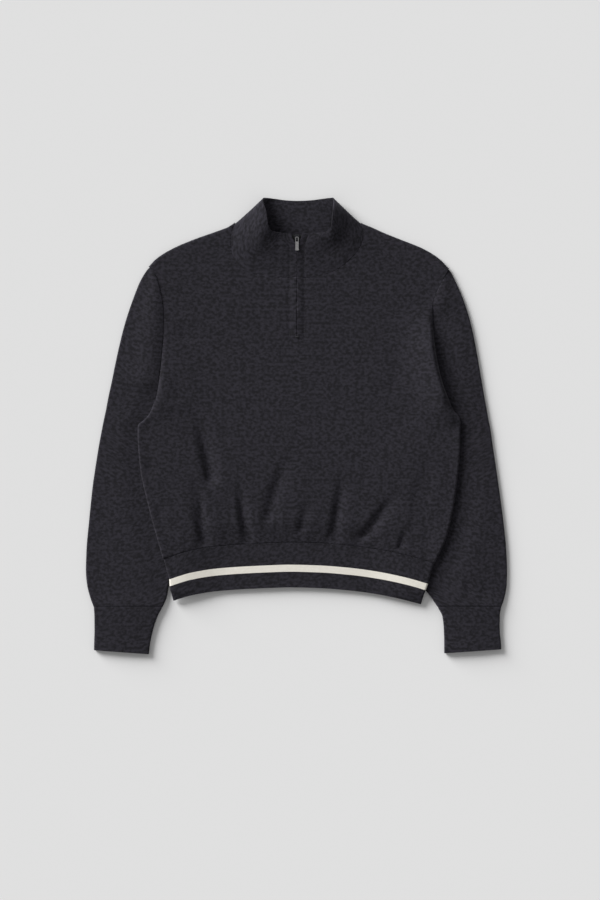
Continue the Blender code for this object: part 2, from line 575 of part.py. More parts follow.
def sleeve(name, sections, armhole, underarm_y, creases, knit):
    """A sleeve from above its shoulder tip to the cuff, cut off along its armhole seam."""
    side = -1 if sections[0].outer_x < 0 else 1
    At = namedtuple("At", ("k",) + Section._fields)
    rows = [At(k, *section) for k, section in enumerate(sections)]
    curves = [Curve(rows, "k", field) for field in Section._fields]
    loops = []
    for ring in range(SLEEVE_RINGS + 1):
        k = (len(sections) - 1) * ring / SLEEVE_RINGS
        now = Section(*(float(curve(k)) for curve in curves))

        def top(w, x, y, now=now):
            beside = side * (x - float(armhole(y)))
            width = max(side * (now.outer_x - float(armhole(y))), 1.0)
            seen = 1 - min(max(beside / width, 0.0), 1.0)
            wave = math.sin(math.pi * seen)
            above = float(ease((y - underarm_y - 28) / 30))
            free = max(above, float(ease((beside - 12) / 14)))
            free *= float(ease((width - 4) / 50))
            gathers = float(trough(creases, x, y)) if creases else 0.0
            to_seam = SEAM_RISE * above * float(ease((seen - 0.35) / 0.6)) * float(ease((width - 4) / 12))
            return WALL / 2 + 2 * FOLD_RADIUS + now.crown * wave * free + to_seam - gathers * wave

        ends = (now.outer_x, now.outer_y), (now.inner_x, now.inner_y)
        slants = [slant(curves, k, end) for end in (0, 2)]
        loops.append(flat_tube(*ends, top, lambda x, y: WALL / 2, FOLD_RADIUS, WALL, SLEEVE_OVER, SLEEVE_UNDER,
                               slants=slants))
    tube = wall(name, [list(points) for points in zip(*loops)], WALL, knit, closed=True)
    rows = armhole_rows("left" if side < 0 else "right", underarm_y)
    line = [(float(armhole(y)) + side * ARMHOLE_GAP, y) for y in [262.0, 258.0, 254.0] + rows + [underarm_y + 2.0]]
    cut(tube, prism(name + "_armhole", line + [(side * 120.0, line[-1][1]), (side * 120.0, 275.0), (line[0][0], 275.0)], -20.0, 60.0))


def cuff(name, corners, knit):
    loops = []
    for row in corners:
        def top(w, x, y):
            return BAND_WALL / 2 + CUFF_HEIGHT + CUFF_CROWN * math.sin(math.pi * min(max(w, 0.0), 1.0))

        ends = (row.outer_x, row.outer_y), (row.inner_x, row.inner_y)
        flat = [i / CUFF_ACROSS for i in range(1, CUFF_ACROSS)]
        loops.append(flat_tube(*ends, top, lambda x, y: BAND_WALL / 2, FOLD_RADIUS, BAND_WALL, flat, flat[::3]))
    return wall(name, [list(points) for points in zip(*loops)], BAND_WALL, knit, closed=True)


def hem_band(knit):
    """The doubled band at the hem: a laid tube, raised at both ends by the sleeves under it."""
    loops = []
    height = BAND_TOP_Y - BAND_BOTTOM_Y
    for v in (0.0, 0.12, 0.3, 0.5, 0.66, 0.84, 1.0):
        down = SEAM_GAP / 2 + (height - SEAM_GAP / 2) * v

        def end(edge, x):
            for _ in range(12):
                x = float(edge(float(band_top(x)) - down))
            return x

        left, right = end(left_edge, -205.0), end(right_edge, 205.0)
        ring = flat_tube(
            (left, 0.0), (right, 0.0),
            lambda w, x, y, d=down: band_top_height(x, float(band_top(x)) - d, w),
            lambda x, y, d=down: BAND_WALL / 2 + float(lift(x, float(band_top(x)) - d)),
            SIDE_RADIUS, BAND_WALL, BAND_COLUMNS, BACK_COLUMNS,
        )
        loops.append([(x, float(band_top(x)) - down, z) for x, y, z in ring])
    return wall("hem_band", [list(points) for points in zip(*loops)], BAND_WALL, knit, closed=True)


def band_top_height(x, y, w):
    air = BAND_AIR + 0.6 * math.sin(math.pi * min(max(w, 0.0), 1.0))
    return BAND_WALL / 2 + float(lift(x, y)) + BAND_WALL + air


# ---- collar -------------------------------------------------------------------------------------------------
StandAt = namedtuple("StandAt", ("k",) + Stand._fields)
STANDS = [StandAt(k, *stand) for k, stand in enumerate(COLLAR)]
STAND_CURVES = [Curve(STANDS, "k", field) for field in Stand._fields]


def collar_point(k, v):
    """A point of the collar's middle surface: k counts along COLLAR's rows, v goes from seam to rim."""
    now = Stand(*(float(curve(k)) for curve in STAND_CURVES))
    x = now.seam_x + (now.rim_x - now.seam_x) * v
    y = now.seam_y + (now.rim_y - now.seam_y) * v
    rise = 0.35 * v + 0.65 * float(ease(v))
    z = now.seam_z + (now.rim_z - now.seam_z) * rise
    z -= now.hollow * math.exp(-(((v - HOLLOW_AT) / HOLLOW_WIDTH) ** 2))
    parting = float(ease((v - NOTCH_FROM) / (1 - NOTCH_FROM)))
    x -= NOTCH_LEFT * parting * float(ease(1 - k / NOTCH_STANDS))
    x += NOTCH_RIGHT * parting * float(ease(1 - (len(COLLAR) - 1 - k) / NOTCH_STANDS))
    return (x, y, z)


def collar(knit):
    columns = COLLAR_COLUMNS
    grid = []
    for i in range(columns + 1):
        k = (len(COLLAR) - 1) * i / columns
        grid.append([collar_point(k, j / COLLAR_ROWS) for j in range(COLLAR_ROWS + 1)])
    return wall("collar", grid, BAND_WALL, knit)


# ---- zip --------------------------------------------------------------------------------------------------
def under_zip(y):
    """Height of the cloth's middle surface beside the zip, and how much it rises with y."""
    def height(at):
        if at < COLLAR[1].seam_y:
            return float(front_middle(ZIP_X - 12.0, at))
        return collar_point(1.0, (at - COLLAR[1].seam_y) / (COLLAR[1].rim_y - COLLAR[1].seam_y))[2]

    return height(y), (height(min(y + 2.0, 308.0)) - height(y - 2.0)) / (min(y + 2.0, 308.0) - y + 2.0)


def zip_tape(cloth):
    """The tape under the two flaps, from below the zip's stop to the collar's top edge."""
    drop = BAND_WALL / 2 + SEAM_GAP + TAPE_THICKNESS / 2
    low_y, high_y = SLIT_END_Y - 6.0, 305.5
    grid = []
    for share in (-0.5, -0.17, 0.17, 0.5):
        column = []
        for i in range(15):
            y = low_y + (high_y - low_y) * i / 14
            height, slope = under_zip(y)
            column.append((ZIP_X + TAPE_WIDTH * share, y, height - drop * math.hypot(1.0, slope)))
        grid.append(column)
    return wall("zip_tape", grid, TAPE_THICKNESS, cloth)


def block(name, middle, size, corner):
    """A box mesh with its upright edges rounded, in the zip's own frame."""
    shape = bmesh.new()
    made = bmesh.ops.create_cube(shape, size=1.0)["verts"]
    bmesh.ops.scale(shape, vec=[side * MM for side in size], verts=made)
    bmesh.ops.translate(shape, vec=[at * MM for at in middle], verts=made)
    upright = [e for e in shape.edges if abs(e.verts[0].co.z - e.verts[1].co.z) > 1e-7]
    bmesh.ops.bevel(shape, geom=upright, offset=corner * MM, segments=3, affect="EDGES", profile=0.5)
    mesh = bpy.data.meshes.new(name)
    shape.to_mesh(mesh)
    shape.free()
    return mesh


def add_block(thing, mesh, operation):
    """Joins a block to a hard piece, or takes it away, in that piece's own frame."""
    other = bpy.data.objects.new(mesh.name, mesh)
    bpy.context.scene.collection.objects.link(other)
    other.location, other.rotation_euler = thing.location, thing.rotation_euler
    other.hide_render, other.display_type = True, "WIRE"
    change = thing.modifiers.new(mesh.name, "BOOLEAN")
    change.operation, change.object = operation, other


def zip_hardware(metal):
    """The slider with its crown, and the tab that hangs from the crown, lying down the zip."""
    height, slope = under_zip(SLIDER_Y)
    tilt = math.atan(slope)
    low = -BAND_WALL / 2
    top = low + SLIDER_THICKNESS
    slider_mesh = block("slider_body", (0, 0, low + SLIDER_THICKNESS / 2),
                        (SLIDER_WIDTH, SLIDER_LENGTH, SLIDER_THICKNESS), 1.6)
    slider = show(slider_mesh, "zip_slider", metal)
    slider.location, slider.rotation_euler = placed(ZIP_X, SLIDER_Y, height), (tilt, 0.0, 0.0)
    crown_z = top + CROWN_HEIGHT / 2 - 0.3
    add_block(slider, block("crown", (0, 0, crown_z), (CROWN_WIDTH, CROWN_LENGTH, CROWN_HEIGHT + 0.6), 0.5), "UNION")
    bar_z = top + CROWN_EYE_HEIGHT / 2 + 0.02
    eye = (CROWN_WIDTH + 2, CROWN_EYE_LENGTH, CROWN_EYE_HEIGHT)
    add_block(slider, block("crown_eye", (0, 0, bar_z), eye, 0.4), "DIFFERENCE")

    bar = Matrix.Rotation(tilt, 3, "X") @ Vector((0, 0, bar_z * MM))
    half = TAB_THICKNESS / 2
    tab_mesh = block("tab_plate", (0, half - TAB_LENGTH / 2, 0), (TAB_WIDTH, TAB_LENGTH, TAB_THICKNESS), 1.8)
    tab = show(tab_mesh, "zip_pull_tab", metal)
    tab.location = Vector(placed(ZIP_X, SLIDER_Y, height)) + bar
    tab.rotation_euler = (tilt + math.radians(TAB_EXTRA_TILT), 0.0, 0.0)
    window = (0, -half - TAB_WINDOW_LENGTH / 2, 0)
    size = (TAB_WINDOW_WIDTH, TAB_WINDOW_LENGTH, 4 * TAB_THICKNESS)
    add_block(tab, block("tab_window", window, size, 0.5), "DIFFERENCE")


def main():
    for old in list(bpy.data.objects):
        bpy.data.objects.remove(old, do_unlink=True)
    knit = material("charcoal_knit", CHARCOAL, 0.92, 0.0)
    band = material("charcoal_band_knit", CHARCOAL_BAND, 0.92, 0.0)
    tape = material("zip_tape_weave", TAPE_BLACK, 0.85, 0.0)
    metal = material("polished_metal", METAL, 0.22, 1.0)
    panels(knit)
    sleeve("sleeve_left", LEFT_SLEEVE, left_edge, LEFT_UNDERARM_Y, (), knit)
    sleeve("sleeve_right", RIGHT_SLEEVE, right_edge, RIGHT_UNDERARM_Y, SLEEVE_CREASES, knit)
    cuff("cuff_left", LEFT_CUFF, band)
    cuff("cuff_right", RIGHT_CUFF, band)
    hem_band(band)
    collar(band)
    zip_tape(tape)
    zip_hardware(metal)


main()
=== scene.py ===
"""The looks of a half-zip knitted pullover, laid flat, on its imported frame.

Every cloth piece is a thin shell round its middle surface, worked out from the sewing pattern's sizes.
Lengths in the tables are millimetres, in the pattern's own frame; ``placed`` turns them into metres.
"""

import logging
import math
from dataclasses import dataclass
from enum import Enum
from typing import Callable, NamedTuple, Sequence

import bmesh
import bpy
import numpy as np
from mathutils import Matrix, Vector


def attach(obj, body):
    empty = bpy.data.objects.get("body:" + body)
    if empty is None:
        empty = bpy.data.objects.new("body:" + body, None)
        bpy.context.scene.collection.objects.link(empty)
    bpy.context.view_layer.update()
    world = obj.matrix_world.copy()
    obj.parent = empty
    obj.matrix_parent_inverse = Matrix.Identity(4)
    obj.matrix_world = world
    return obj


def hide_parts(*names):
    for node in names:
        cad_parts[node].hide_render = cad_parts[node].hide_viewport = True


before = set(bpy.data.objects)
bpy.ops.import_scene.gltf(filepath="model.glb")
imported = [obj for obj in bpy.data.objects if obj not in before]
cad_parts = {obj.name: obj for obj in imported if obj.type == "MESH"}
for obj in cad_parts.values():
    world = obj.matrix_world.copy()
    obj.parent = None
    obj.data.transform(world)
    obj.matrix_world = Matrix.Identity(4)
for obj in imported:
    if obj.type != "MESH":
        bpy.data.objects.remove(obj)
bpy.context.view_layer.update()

log = logging.getLogger("pullover")
MM = 0.001
Number = float | np.ndarray

# ---- driving sizes, in millimetres ----
WALL = 2.2  # knit of the body and the sleeves
BAND_WALL = 2.4  # doubled knit of cuffs, hem band and collar
SEAM_GAP = 0.3  # between two pieces that are sewn together
SEAM_RISE = 1.6  # of a sleeve's top from its flat height to the armhole seam
SEAM_DIP = 2.3  # of the right sleeve's top along that seam, in the body's shadow
LEFT_RISE = 0.7  # by which the left sleeve, which lies closer, rises more to its seam
CROWN_LEAN = 1.6  # brings a sleeve's highest line nearer the body
ARMHOLE_GAP = 0.25  # from a panel's edge to the cut edge of the sleeve beside it
SEAM_DRAWN = 0.1  # between two shells that are sewn together
RIM = 0.9  # rounding of a band's rims, by which it reaches into its seam
LEAST_SLANT = 0.25  # of a sleeve's ring to its fold, as a sine
FOLD_SEAM_GAP = 0.5  # between two middle surfaces that meet in the outline's fold
FOLD_RADIUS = 1.5  # middle surface of a laid sleeve's or shoulder's fold
SIDE_RADIUS = 2.0  # middle surface of the body's side folds
SLEEVE_FLAT = 2 * FOLD_RADIUS + WALL  # height of a sleeve where the body lies on it
LAYER_GAP = 1.4  # between the body and the sleeve under it
LIFT = SLEEVE_FLAT + LAYER_GAP  # how far the sleeve under it raises the body
CHEST_AIR = 2.4  # between front and back over the chest
BLOUSE_AIR = 6.8  # between them where the front blouses over the hem band
ARMHOLE_HEIGHT = 6.0  # middle surface at the armhole seam
ARMHOLE_ROLL = 5.0  # width over which the front rolls down to that seam
BAND_AIR = 1.4  # inside the hem band
CUFF_HEIGHT, CUFF_CROWN = 4.4, 1.4  # between a cuff's two middle surfaces
SLIT_WIDTH = 1.6  # between the two edges of the zip opening
SLIT_SHOWN = 0.2  # between the shells, whose edges nearly meet over the teeth
SLIT_END_Y = 141.5  # the zip's lower stop
ZIP_X = -0.8
TAPE_WIDTH = 27.0
TAPE_THICKNESS = 1.0
PLACE_X, PLACE_Y = 1.7, -0.9  # brings the middle of the laid garment onto the origin


# ---- outlines of the laid garment ----
def table(kind: type, rows: Sequence[Sequence[float]]) -> tuple:
    """Rows with named columns."""
    return tuple(kind(*row) for row in rows)


class Edge(NamedTuple):
    """A point of the body's side outline."""

    y: float
    x: float


LEFT_EDGE = table(Edge, (  # hem corner, side fold, underarm, armhole seam, shoulder tip
    (-284, -197.0), (-271, -200.3), (-258, -203.8), (-245, -204.8),
    (-226, -209.8), (-210, -214.0), (-180, -222.6), (-123, -237.9),
    (-62, -250.6), (-10, -254.0), (2, -253.5), (8, -246.0),
    (15, -239.0), (26, -232.5), (51, -225.0), (80, -220.5),
    (112, -217.4), (145, -214.7), (174, -213.9), (205, -216.5),
    (230, -222.0), (243, -227.5), (254, -236.5), (262, -245.0),
))
RIGHT_EDGE = table(Edge, (
    (-284, 197.5), (-271, 201.3), (-258, 206.0), (-245, 210.3),
    (-226, 215.0), (-210, 221.5), (-180, 235.7), (-142, 245.3),
    (-95, 253.0), (-31, 258.4), (10, 259.0), (16, 256.0),
    (24, 249.0), (36, 243.0), (50, 238.2), (70, 231.5),
    (92, 225.8), (120, 220.5), (148, 217.6), (175, 215.6),
    (190, 215.4), (210, 220.0), (230, 229.5), (243, 236.5),
    (251, 241.0), (262, 248.0),
))
LEFT_UNDERARM_Y, RIGHT_UNDERARM_Y = 17.0, 29.0  # where each armhole seam goes under the body's fold


class Rise(NamedTuple):
    """A point of the shoulder line."""

    x: float
    y: float


SHOULDER = table(Rise, (
    (-250, 243.0), (-236.5, 255.5), (-226, 266.4), (-201, 282.4),
    (-164, 298.4), (-137, 308.0), (-119, 314.4), (-110.7, 317.8),
    (-102, 323.4), (-96, 327.0), (0, 327.0), (97, 327.0),
    (103.5, 323.4), (111, 320.2), (118, 317.4), (139, 308.0),
    (163, 298.4), (202, 282.4), (227, 266.4), (240, 253.0), (252, 241.0),
))


class Level(NamedTuple):
    """How much lower the hem band lies here."""

    x: float
    sag: float


HEM_SAG = table(Level, (  # how much lower the hem band lies towards its ends than at its middle
    (-240, 28.0), (-206, 23.5), (-189, 18.0), (-170, 12.6), (-128, 6.0),
    (-50, 1.2), (-12, 0.0), (34, 1.2), (87, 5.4), (130, 11.4),
    (165, 18.4), (190, 24.8), (206, 29.5), (245, 35.0),
))
BAND_TOP_Y = -186.4
BAND_BOTTOM_Y = -257.0


# ---- creases of the front: troughs that run up from the hem band ----
class Crease(NamedTuple):
    """A trough from its deep end, past a middle point, to its far end."""

    x0: float
    y0: float
    x1: float
    y1: float
    x2: float
    y2: float
    depth: float
    width: float


CREASES = table(Crease, (
    (-149.6, -183, -157.4, -145, -165.0, -84, 2.6, 6.5),
    (-141.9, -84, -148.0, -40, -163.2, 20, 2.6, 8.0),
    (-81.3, -181, -89.0, -140, -94.1, -90, 2.4, 5.5),
    (-47.2, -145, -35.0, -95, -13.0, -43, 1.5, 8.5),
    (3.4, -165, 11.0, -140, 13.0, -112, 1.1, 6.5),
    (53.3, -182, 62.9, -130, 72.5, -73, 2.1, 6.5),
    (105.1, -174, 137.8, -130, 155.0, -101, 1.9, 8.5),
    (160.8, -194, 168.6, -176, 171.0, -160, 1.4, 4.5),
    (186.7, -192, 193.4, -121, 208.8, -50, 2.2, 7.5),
    (204.0, -190, 210.0, -165, 212.6, -140, 1.1, 5.0),
))
SMALL_CREASES = table(Crease, (  # finer hollows, which only the shells have
    (-176, 138, -184, 156, -186, 172, 1.3, 10.0),
    (-190, 44, -194, 66, -195, 92, 1.3, 9.0),
    (-236, -76, -240, -62, -238, -50, 1.3, 5.5),
    (-222, -146, -224, -136, -223, -124, 1.2, 5.5),
    (-70, -192, -74, -170, -80, -140, 0.8, 7.0),
    (30, -190, 34, -160, 36, -120, 0.8, 8.0),
    (150, 60, 158, 90, 160, 130, 0.8, 12.0),
    (60, 150, 66, 180, 70, 215, 0.4, 10.0),
    (-60, 150, -64, 180, -70, 215, 0.4, 10.0),
))
CREASE_SHARE = 2.6  # of the table's depth, which the shell can hold more of than the solid
LEFT_PUFF, RIGHT_PUFF = 1.4, 12.0  # of the front just inside its armholes
PUFF_WIDTH = 34.0
PUFF_LOW_Y, PUFF_LOW_FADE = -10.0, 45.0  # where it starts, and the height over which it comes in
PUFF_HIGH_Y, PUFF_HIGH_FADE = 204.0, 90.0  # where it has gone, and the height over which it fades
BLOUSE_RISE, BLOUSE_END, BLOUSE_FADE = 42.0, 330.0, 230.0  # of the blousing, above the hem band
LEAST_AIR = 0.3  # left under the deepest crease
BAND_NIP, NIP_HEIGHT = 0.6, 9.0  # by which the hem band draws the front in, and up to where
GATHER_DEPTH, GATHER_STEP, GATHER_FADE = 0.42, 3.6, 34.0  # of the fine gathers over the hem band
GATHER_STRAY, STRAY_STEP = 2.2, 29.0  # how far and how slowly they stray from even spacing
GROOVE_DEPTH, GROOVE_WIDTH = 0.8, 1.6  # of the stitching beside the zip
END_DEPTH, END_WIDTH = 0.5, 1.4  # of the stitching across the zip's foot
PLACKET_HALF = 12.0  # from the zip to each line of its stitching
ROOF_RISE, ROOF_HALF = 1.3, 13.5  # of the two flaps up to the zip, which pushes them up


# ---- sleeves: one row for each section from the armhole to the cuff ----
class Section(NamedTuple):
    """A section of a sleeve, from its outer edge to its inner one, and how far its top rises."""

    outer_x: float
    outer_y: float
    inner_x: float
    inner_y: float
    crown: float


LEFT_SLEEVE = table(Section, (
    (-229.5, 258.8, -190.0, 264.0, 1.9),
    (-238.2, 252.6, -192.0, 250.0, 1.9),
    (-249.5, 236.0, -196.0, 228.0, 2.6),
    (-263.4, 202.4, -200.0, 193.0, 3.2),
    (-277.5, 159.0, -203.0, 149.0, 3.4),
    (-290.5, 104.0, -206.0, 98.0, 3.4),
    (-297.4, 70.0, -211.0, 62.0, 3.4),
    (-302.2, 48.0, -219.0, 41.0, 3.4),
    (-306.4, 26.0, -230.0, 23.0, 3.4),
    (-309.6, 11.0, -236.3, 9.0, 3.4),
    (-313.0, -6.0, -231.8, -6.0, 3.4),
    (-316.4, -24.0, -214.5, -24.5, 3.4),
    (-320.0, -45.0, -196.5, -44.0, 3.4),
    (-324.0, -71.0, -185.0, -69.0, 3.4),
    (-327.6, -96.0, -178.5, -102.0, 3.4),
    (-333.2, -150.0, -186.0, -150.0, 3.5),
    (-337.3, -195.0, -195.5, -195.0, 3.6),
    (-338.4, -229.0, -202.0, -230.0, 3.6),
    (-336.6, -252.0, -206.0, -255.0, 3.4),
    (-331.0, -274.5, -209.0, -273.0, 2.8),
    (-326.0, -288.0, -215.5, -288.0, 1.2),
))
RIGHT_SLEEVE = table(Section, (
    (234.6, 255.8, 192.0, 261.0, 1.5),
    (243.4, 249.2, 194.0, 247.0, 1.5),
    (252.5, 232.0, 198.0, 226.0, 2.4),
    (265.4, 202.4, 202.0, 193.0, 3.1),
    (278.5, 159.0, 205.0, 149.0, 3.4),
    (289.2, 104.0, 210.0, 100.0, 3.4),
    (294.6, 72.0, 218.0, 68.0, 3.4),
    (298.7, 48.0, 229.5, 50.0, 3.4),
    (302.4, 28.0, 239.5, 34.0, 3.4),
    (305.2, 12.0, 243.7, 20.0, 3.4),
    (308.4, -4.0, 239.0, 6.0, 3.4),
    (311.0, -22.0, 226.0, -12.0, 3.4),
    (313.2, -38.0, 210.0, -29.0, 3.4),
    (316.0, -56.0, 195.0, -47.0, 3.4),
    (318.6, -74.0, 184.0, -68.0, 3.4),
    (321.8, -96.0, 177.0, -102.0, 3.4),
    (329.0, -150.0, 183.0, -148.0, 3.5),
    (333.6, -195.0, 192.5, -194.0, 3.6),
    (335.0, -229.0, 199.5, -230.0, 3.6),
    (334.5, -252.0, 202.5, -256.0, 3.4),
    (330.6, -274.5, 213.5, -273.0, 2.8),
    (326.0, -288.0, 223.8, -288.0, 1.2),
))
SLEEVE_CREASES = table(Crease, (  # small gathers above the right cuff
    (274.4, -266, 270.0, -250, 266.4, -236, 1.2, 4.5),
    (292.0, -282, 297.0, -268, 301.6, -252, 1.2, 4.5),
))


# ---- cuffs: their four corners ----
class Corner(NamedTuple):
    """A ring of a cuff."""

    outer_x: float
    outer_y: float
    inner_x: float
    inner_y: float


LEFT_CUFF = table(Corner, (
    (-325.7, -288.6, -215.9, -288.6), (-324.7, -304.0, -224.0, -304.0),
    (-324.6, -326.0, -231.5, -327.5), (-325.1, -345.0, -235.8, -348.0),
    (-325.4, -357.4, -237.6, -363.8),
))
RIGHT_CUFF = table(Corner, (
    (325.7, -288.6, 224.1, -288.6), (323.4, -304.0, 231.7, -304.0),
    (323.3, -326.0, 234.0, -327.5), (325.0, -343.0, 234.5, -346.5),
    (325.8, -356.0, 234.5, -362.4),
))


# ---- collar: from the zip round the left side, the back and the right side to the zip ----
class Stand(NamedTuple):
    """A rib of the collar, from its seam to its rim."""

    seam_x: float
    seam_y: float
    seam_z: float
    rim_x: float
    rim_y: float
    rim_z: float
    hollow: float


COLLAR = table(Stand, (
    (-1.6, 239.2, 5.7, -1.6, 308.0, 13.4, 0.0),
    (-14.0, 239.3, 5.7, -11.0, 308.2, 13.6, 0.0),
    (-30.0, 239.6, 5.7, -20.5, 308.6, 14.2, 0.2),
    (-56.0, 241.9, 5.7, -32.0, 309.4, 15.8, 0.6),
    (-81.0, 248.6, 5.8, -40.0, 311.4, 18.6, 0.8),
    (-96.5, 261.4, 6.0, -44.6, 315.6, 22.4, 1.0),
    (-103.6, 278.6, 6.0, -46.9, 322.4, 25.0, 1.0),
    (-105.0, 296.0, 6.0, -48.4, 332.0, 26.4, 1.0),
    (-103.6, 311.0, 5.8, -50.4, 344.0, 26.0, 0.8),
    (-101.0, 320.6, 5.2, -53.4, 353.4, 24.0, 0.4),
    (-98.2, 323.6, 3.4, -55.0, 360.6, 19.0, 0.0),
    (-95.4, 319.4, 1.6, -52.2, 364.2, 12.6, 0.0),
    (-84.0, 313.6, 1.3, -46.0, 364.6, 8.0, 0.0),
    (-60.0, 306.4, 1.2, -36.0, 363.8, 4.4, 0.0),
    (-30.0, 302.0, 1.2, -20.0, 361.6, 3.2, 0.0),
    (0.0, 300.6, 1.2, -0.6, 360.6, 2.8, 0.0),
    (30.0, 302.0, 1.2, 20.0, 361.4, 3.2, 0.0),
    (60.0, 306.4, 1.2, 37.0, 363.4, 4.4, 0.0),
    (85.0, 313.6, 1.3, 48.0, 364.6, 7.0, 0.0),
    (96.8, 319.4, 1.6, 54.4, 364.6, 10.4, 0.0),
    (99.8, 323.6, 3.4, 57.8, 361.2, 16.4, 0.4),
    (102.0, 320.4, 5.2, 57.4, 353.6, 23.4, 2.0),
    (103.2, 311.0, 5.8, 56.4, 344.0, 27.0, 3.6),
    (102.0, 297.0, 6.0, 55.2, 332.0, 27.4, 5.0),
    (94.6, 281.6, 6.0, 54.2, 322.4, 26.0, 5.4),
    (81.4, 267.0, 6.0, 51.8, 315.4, 23.0, 4.6),
    (65.0, 253.8, 5.8, 46.4, 311.0, 19.0, 3.0),
    (46.6, 245.4, 5.7, 37.0, 309.2, 16.0, 1.4),
    (24.0, 240.4, 5.7, 23.0, 308.6, 14.4, 0.2),
    (9.0, 239.2, 5.7, 11.0, 308.2, 13.6, 0.0),
    (0.0, 239.2, 5.7, 0.0, 308.0, 13.4, 0.0),
))
COLLAR_BACK_FIRST, COLLAR_BACK_LAST = 10, 20  # the rows between the two shoulder folds
HOLLOW_AT, HOLLOW_WIDTH = 0.55, 0.24  # where up the collar its outside sinks in


class Dent(NamedTuple):
    """A soft round hollow of the collar, or a swelling where its depth is below 0."""

    x: float
    y: float
    depth: float
    half_width: float
    half_height: float


COLLAR_DENTS = table(Dent, (
    (-31.0, 300.0, 2.0, 8.0, 6.0), (-31.0, 285.0, 1.2, 5.0, 10.0),
    (-58.0, 292.0, -1.0, 8.0, 14.0), (37.0, 303.0, -1.2, 7.0, 5.0), (62.0, 322.0, 1.2, 5.0, 14.0),
))
COLLAR_ROOF, COLLAR_GROOVE, COLLAR_GROOVE_WIDTH = 0.8, 0.4, 1.5  # beside the zip, up the collar
RIM_SINK, RIM_SINK_SHARE = 0.2, 0.035  # of the lower rim into the panel, and up to what share of the height
COLLAR_TUCK = 0.018  # share of its height by which its lower rim covers the panel's edge
NOTCH_FROM = 0.66  # up the collar, where the zip's edges start to part
NOTCH_LEFT, NOTCH_RIGHT = 9.0, 8.0  # how far they part at the rim
NOTCH_STANDS = 3.2  # over this many rows the parting fades out

# ---- zip ----
SLIDER_Y = 302.0
SLIDER_LENGTH, SLIDER_WIDTH, SLIDER_THICKNESS = 10.0, 7.4, 2.6
CROWN_LENGTH, CROWN_WIDTH, CROWN_EYE_HEIGHT = 7.0, 2.2, 2.6
TAB_LENGTH, TAB_WIDTH, TAB_THICKNESS = 22.0, 6.8, 1.2
TAB_WINDOW_LENGTH, TAB_WINDOW_WIDTH = 6.6, 3.4
TAB_EXTRA_TILT = 1.6  # degrees more than the slider, so that its end comes down to the cloth


class Curve:
    """A smooth curve through the rows of a table, with no swing past them."""

    def __init__(self, rows: Sequence[NamedTuple], along: str, value: str) -> None:
        """Fits the curve.

        Args:
            rows: The table, in order of its ``along`` column.
            along: The column to look values up by.
            value: The column to read.
        """
        self.at = np.array([getattr(row, along) for row in rows], float)
        self.value = np.array([getattr(row, value) for row in rows], float)
        step = np.diff(self.at)
        rise = np.diff(self.value) / step
        slope = np.zeros(len(rows))
        slope[0], slope[-1] = rise[0], rise[-1]
        same_way = rise[:-1] * rise[1:] > 0
        before, after = 2 * step[1:] + step[:-1], step[1:] + 2 * step[:-1]
        safe = np.where(rise == 0, 1.0, rise)
        shared = np.where(same_way, before / safe[:-1] + after / safe[1:], 1.0)
        slope[1:-1] = np.where(same_way, (before + after) / shared, 0.0)
        self.slope = slope

    def __call__(self, where: Number) -> Number:
        """The curve's value at one place or several."""
        where = np.clip(where, self.at[0], self.at[-1])
        i = np.clip(np.searchsorted(self.at, where) - 1, 0, len(self.at) - 2)
        width = self.at[i + 1] - self.at[i]
        t = (where - self.at[i]) / width
        return (
            (1 + 2 * t) * (1 - t) ** 2 * self.value[i]
            + t * (1 - t) ** 2 * width * self.slope[i]
            + t * t * (3 - 2 * t) * self.value[i + 1]
            + t * t * (t - 1) * width * self.slope[i + 1]
        )


left_edge = Curve(LEFT_EDGE, "y", "x")
right_edge = Curve(RIGHT_EDGE, "y", "x")
shoulder = Curve(SHOULDER, "x", "y")
hem_sag = Curve(HEM_SAG, "x", "sag")


def ease(t: Number) -> Number:
    """0 up to 0, 1 from 1 on, and smooth between."""
    t = np.clip(t, 0.0, 1.0)
    return t * t * (3 - 2 * t)


def fold(distance: Number, radius: float) -> Number:
    """Height of a round fold, from 0 at its edge to 1 where it ends."""
    inward = np.clip(distance / radius, 0.0, 1.0)
    return np.sqrt(1 - (1 - inward) ** 2)


def trough(creases: Sequence[Crease], x: Number, y: Number) -> Number:
    """Depth of the creases at a point.

    Args:
        creases: The table of troughs.
        x: Where, across the garment.
        y: Where, up the garment.

    Returns:
        The depth in millimetres: deepest where each starts, shallower as it runs out.
    """
    depth = np.zeros(np.broadcast(x, y).shape)
    for crease in creases:
        along = (y - crease.y0) / (crease.y2 - crease.y0)
        middle = (crease.y1 - crease.y0) / (crease.y2 - crease.y0)
        bend = crease.x1 - (crease.x0 + (crease.x2 - crease.x0) * middle)
        centre = crease.x0 + (crease.x2 - crease.x0) * along
        centre = centre + bend * (1 - ((along - middle) / max(middle, 1 - middle)) ** 2)
        reach = ease((along + 0.16) / 0.2) * ease((1.08 - along) / 0.75)
        width = crease.width * np.where(x < centre, 0.95, 1.6)
        depth = depth + crease.depth * reach * np.exp(-(((x - centre) / width) ** 2))
    return depth


def hidden_edge(sections: Sequence[Section], underarm_y: float, armhole: Curve) -> Curve:
    """Inner edge of the part of a sleeve that the body covers, as a curve over Y."""
    rows = [Edge(s.inner_y, s.inner_x) for s in reversed(sections[:-2]) if s.inner_y < underarm_y - 4]
    rows += [Edge(underarm_y + d, float(armhole(underarm_y + d))) for d in (0, 12, 30, 60)]
    return Curve(sorted(rows, key=lambda row: row.y), "y", "x")


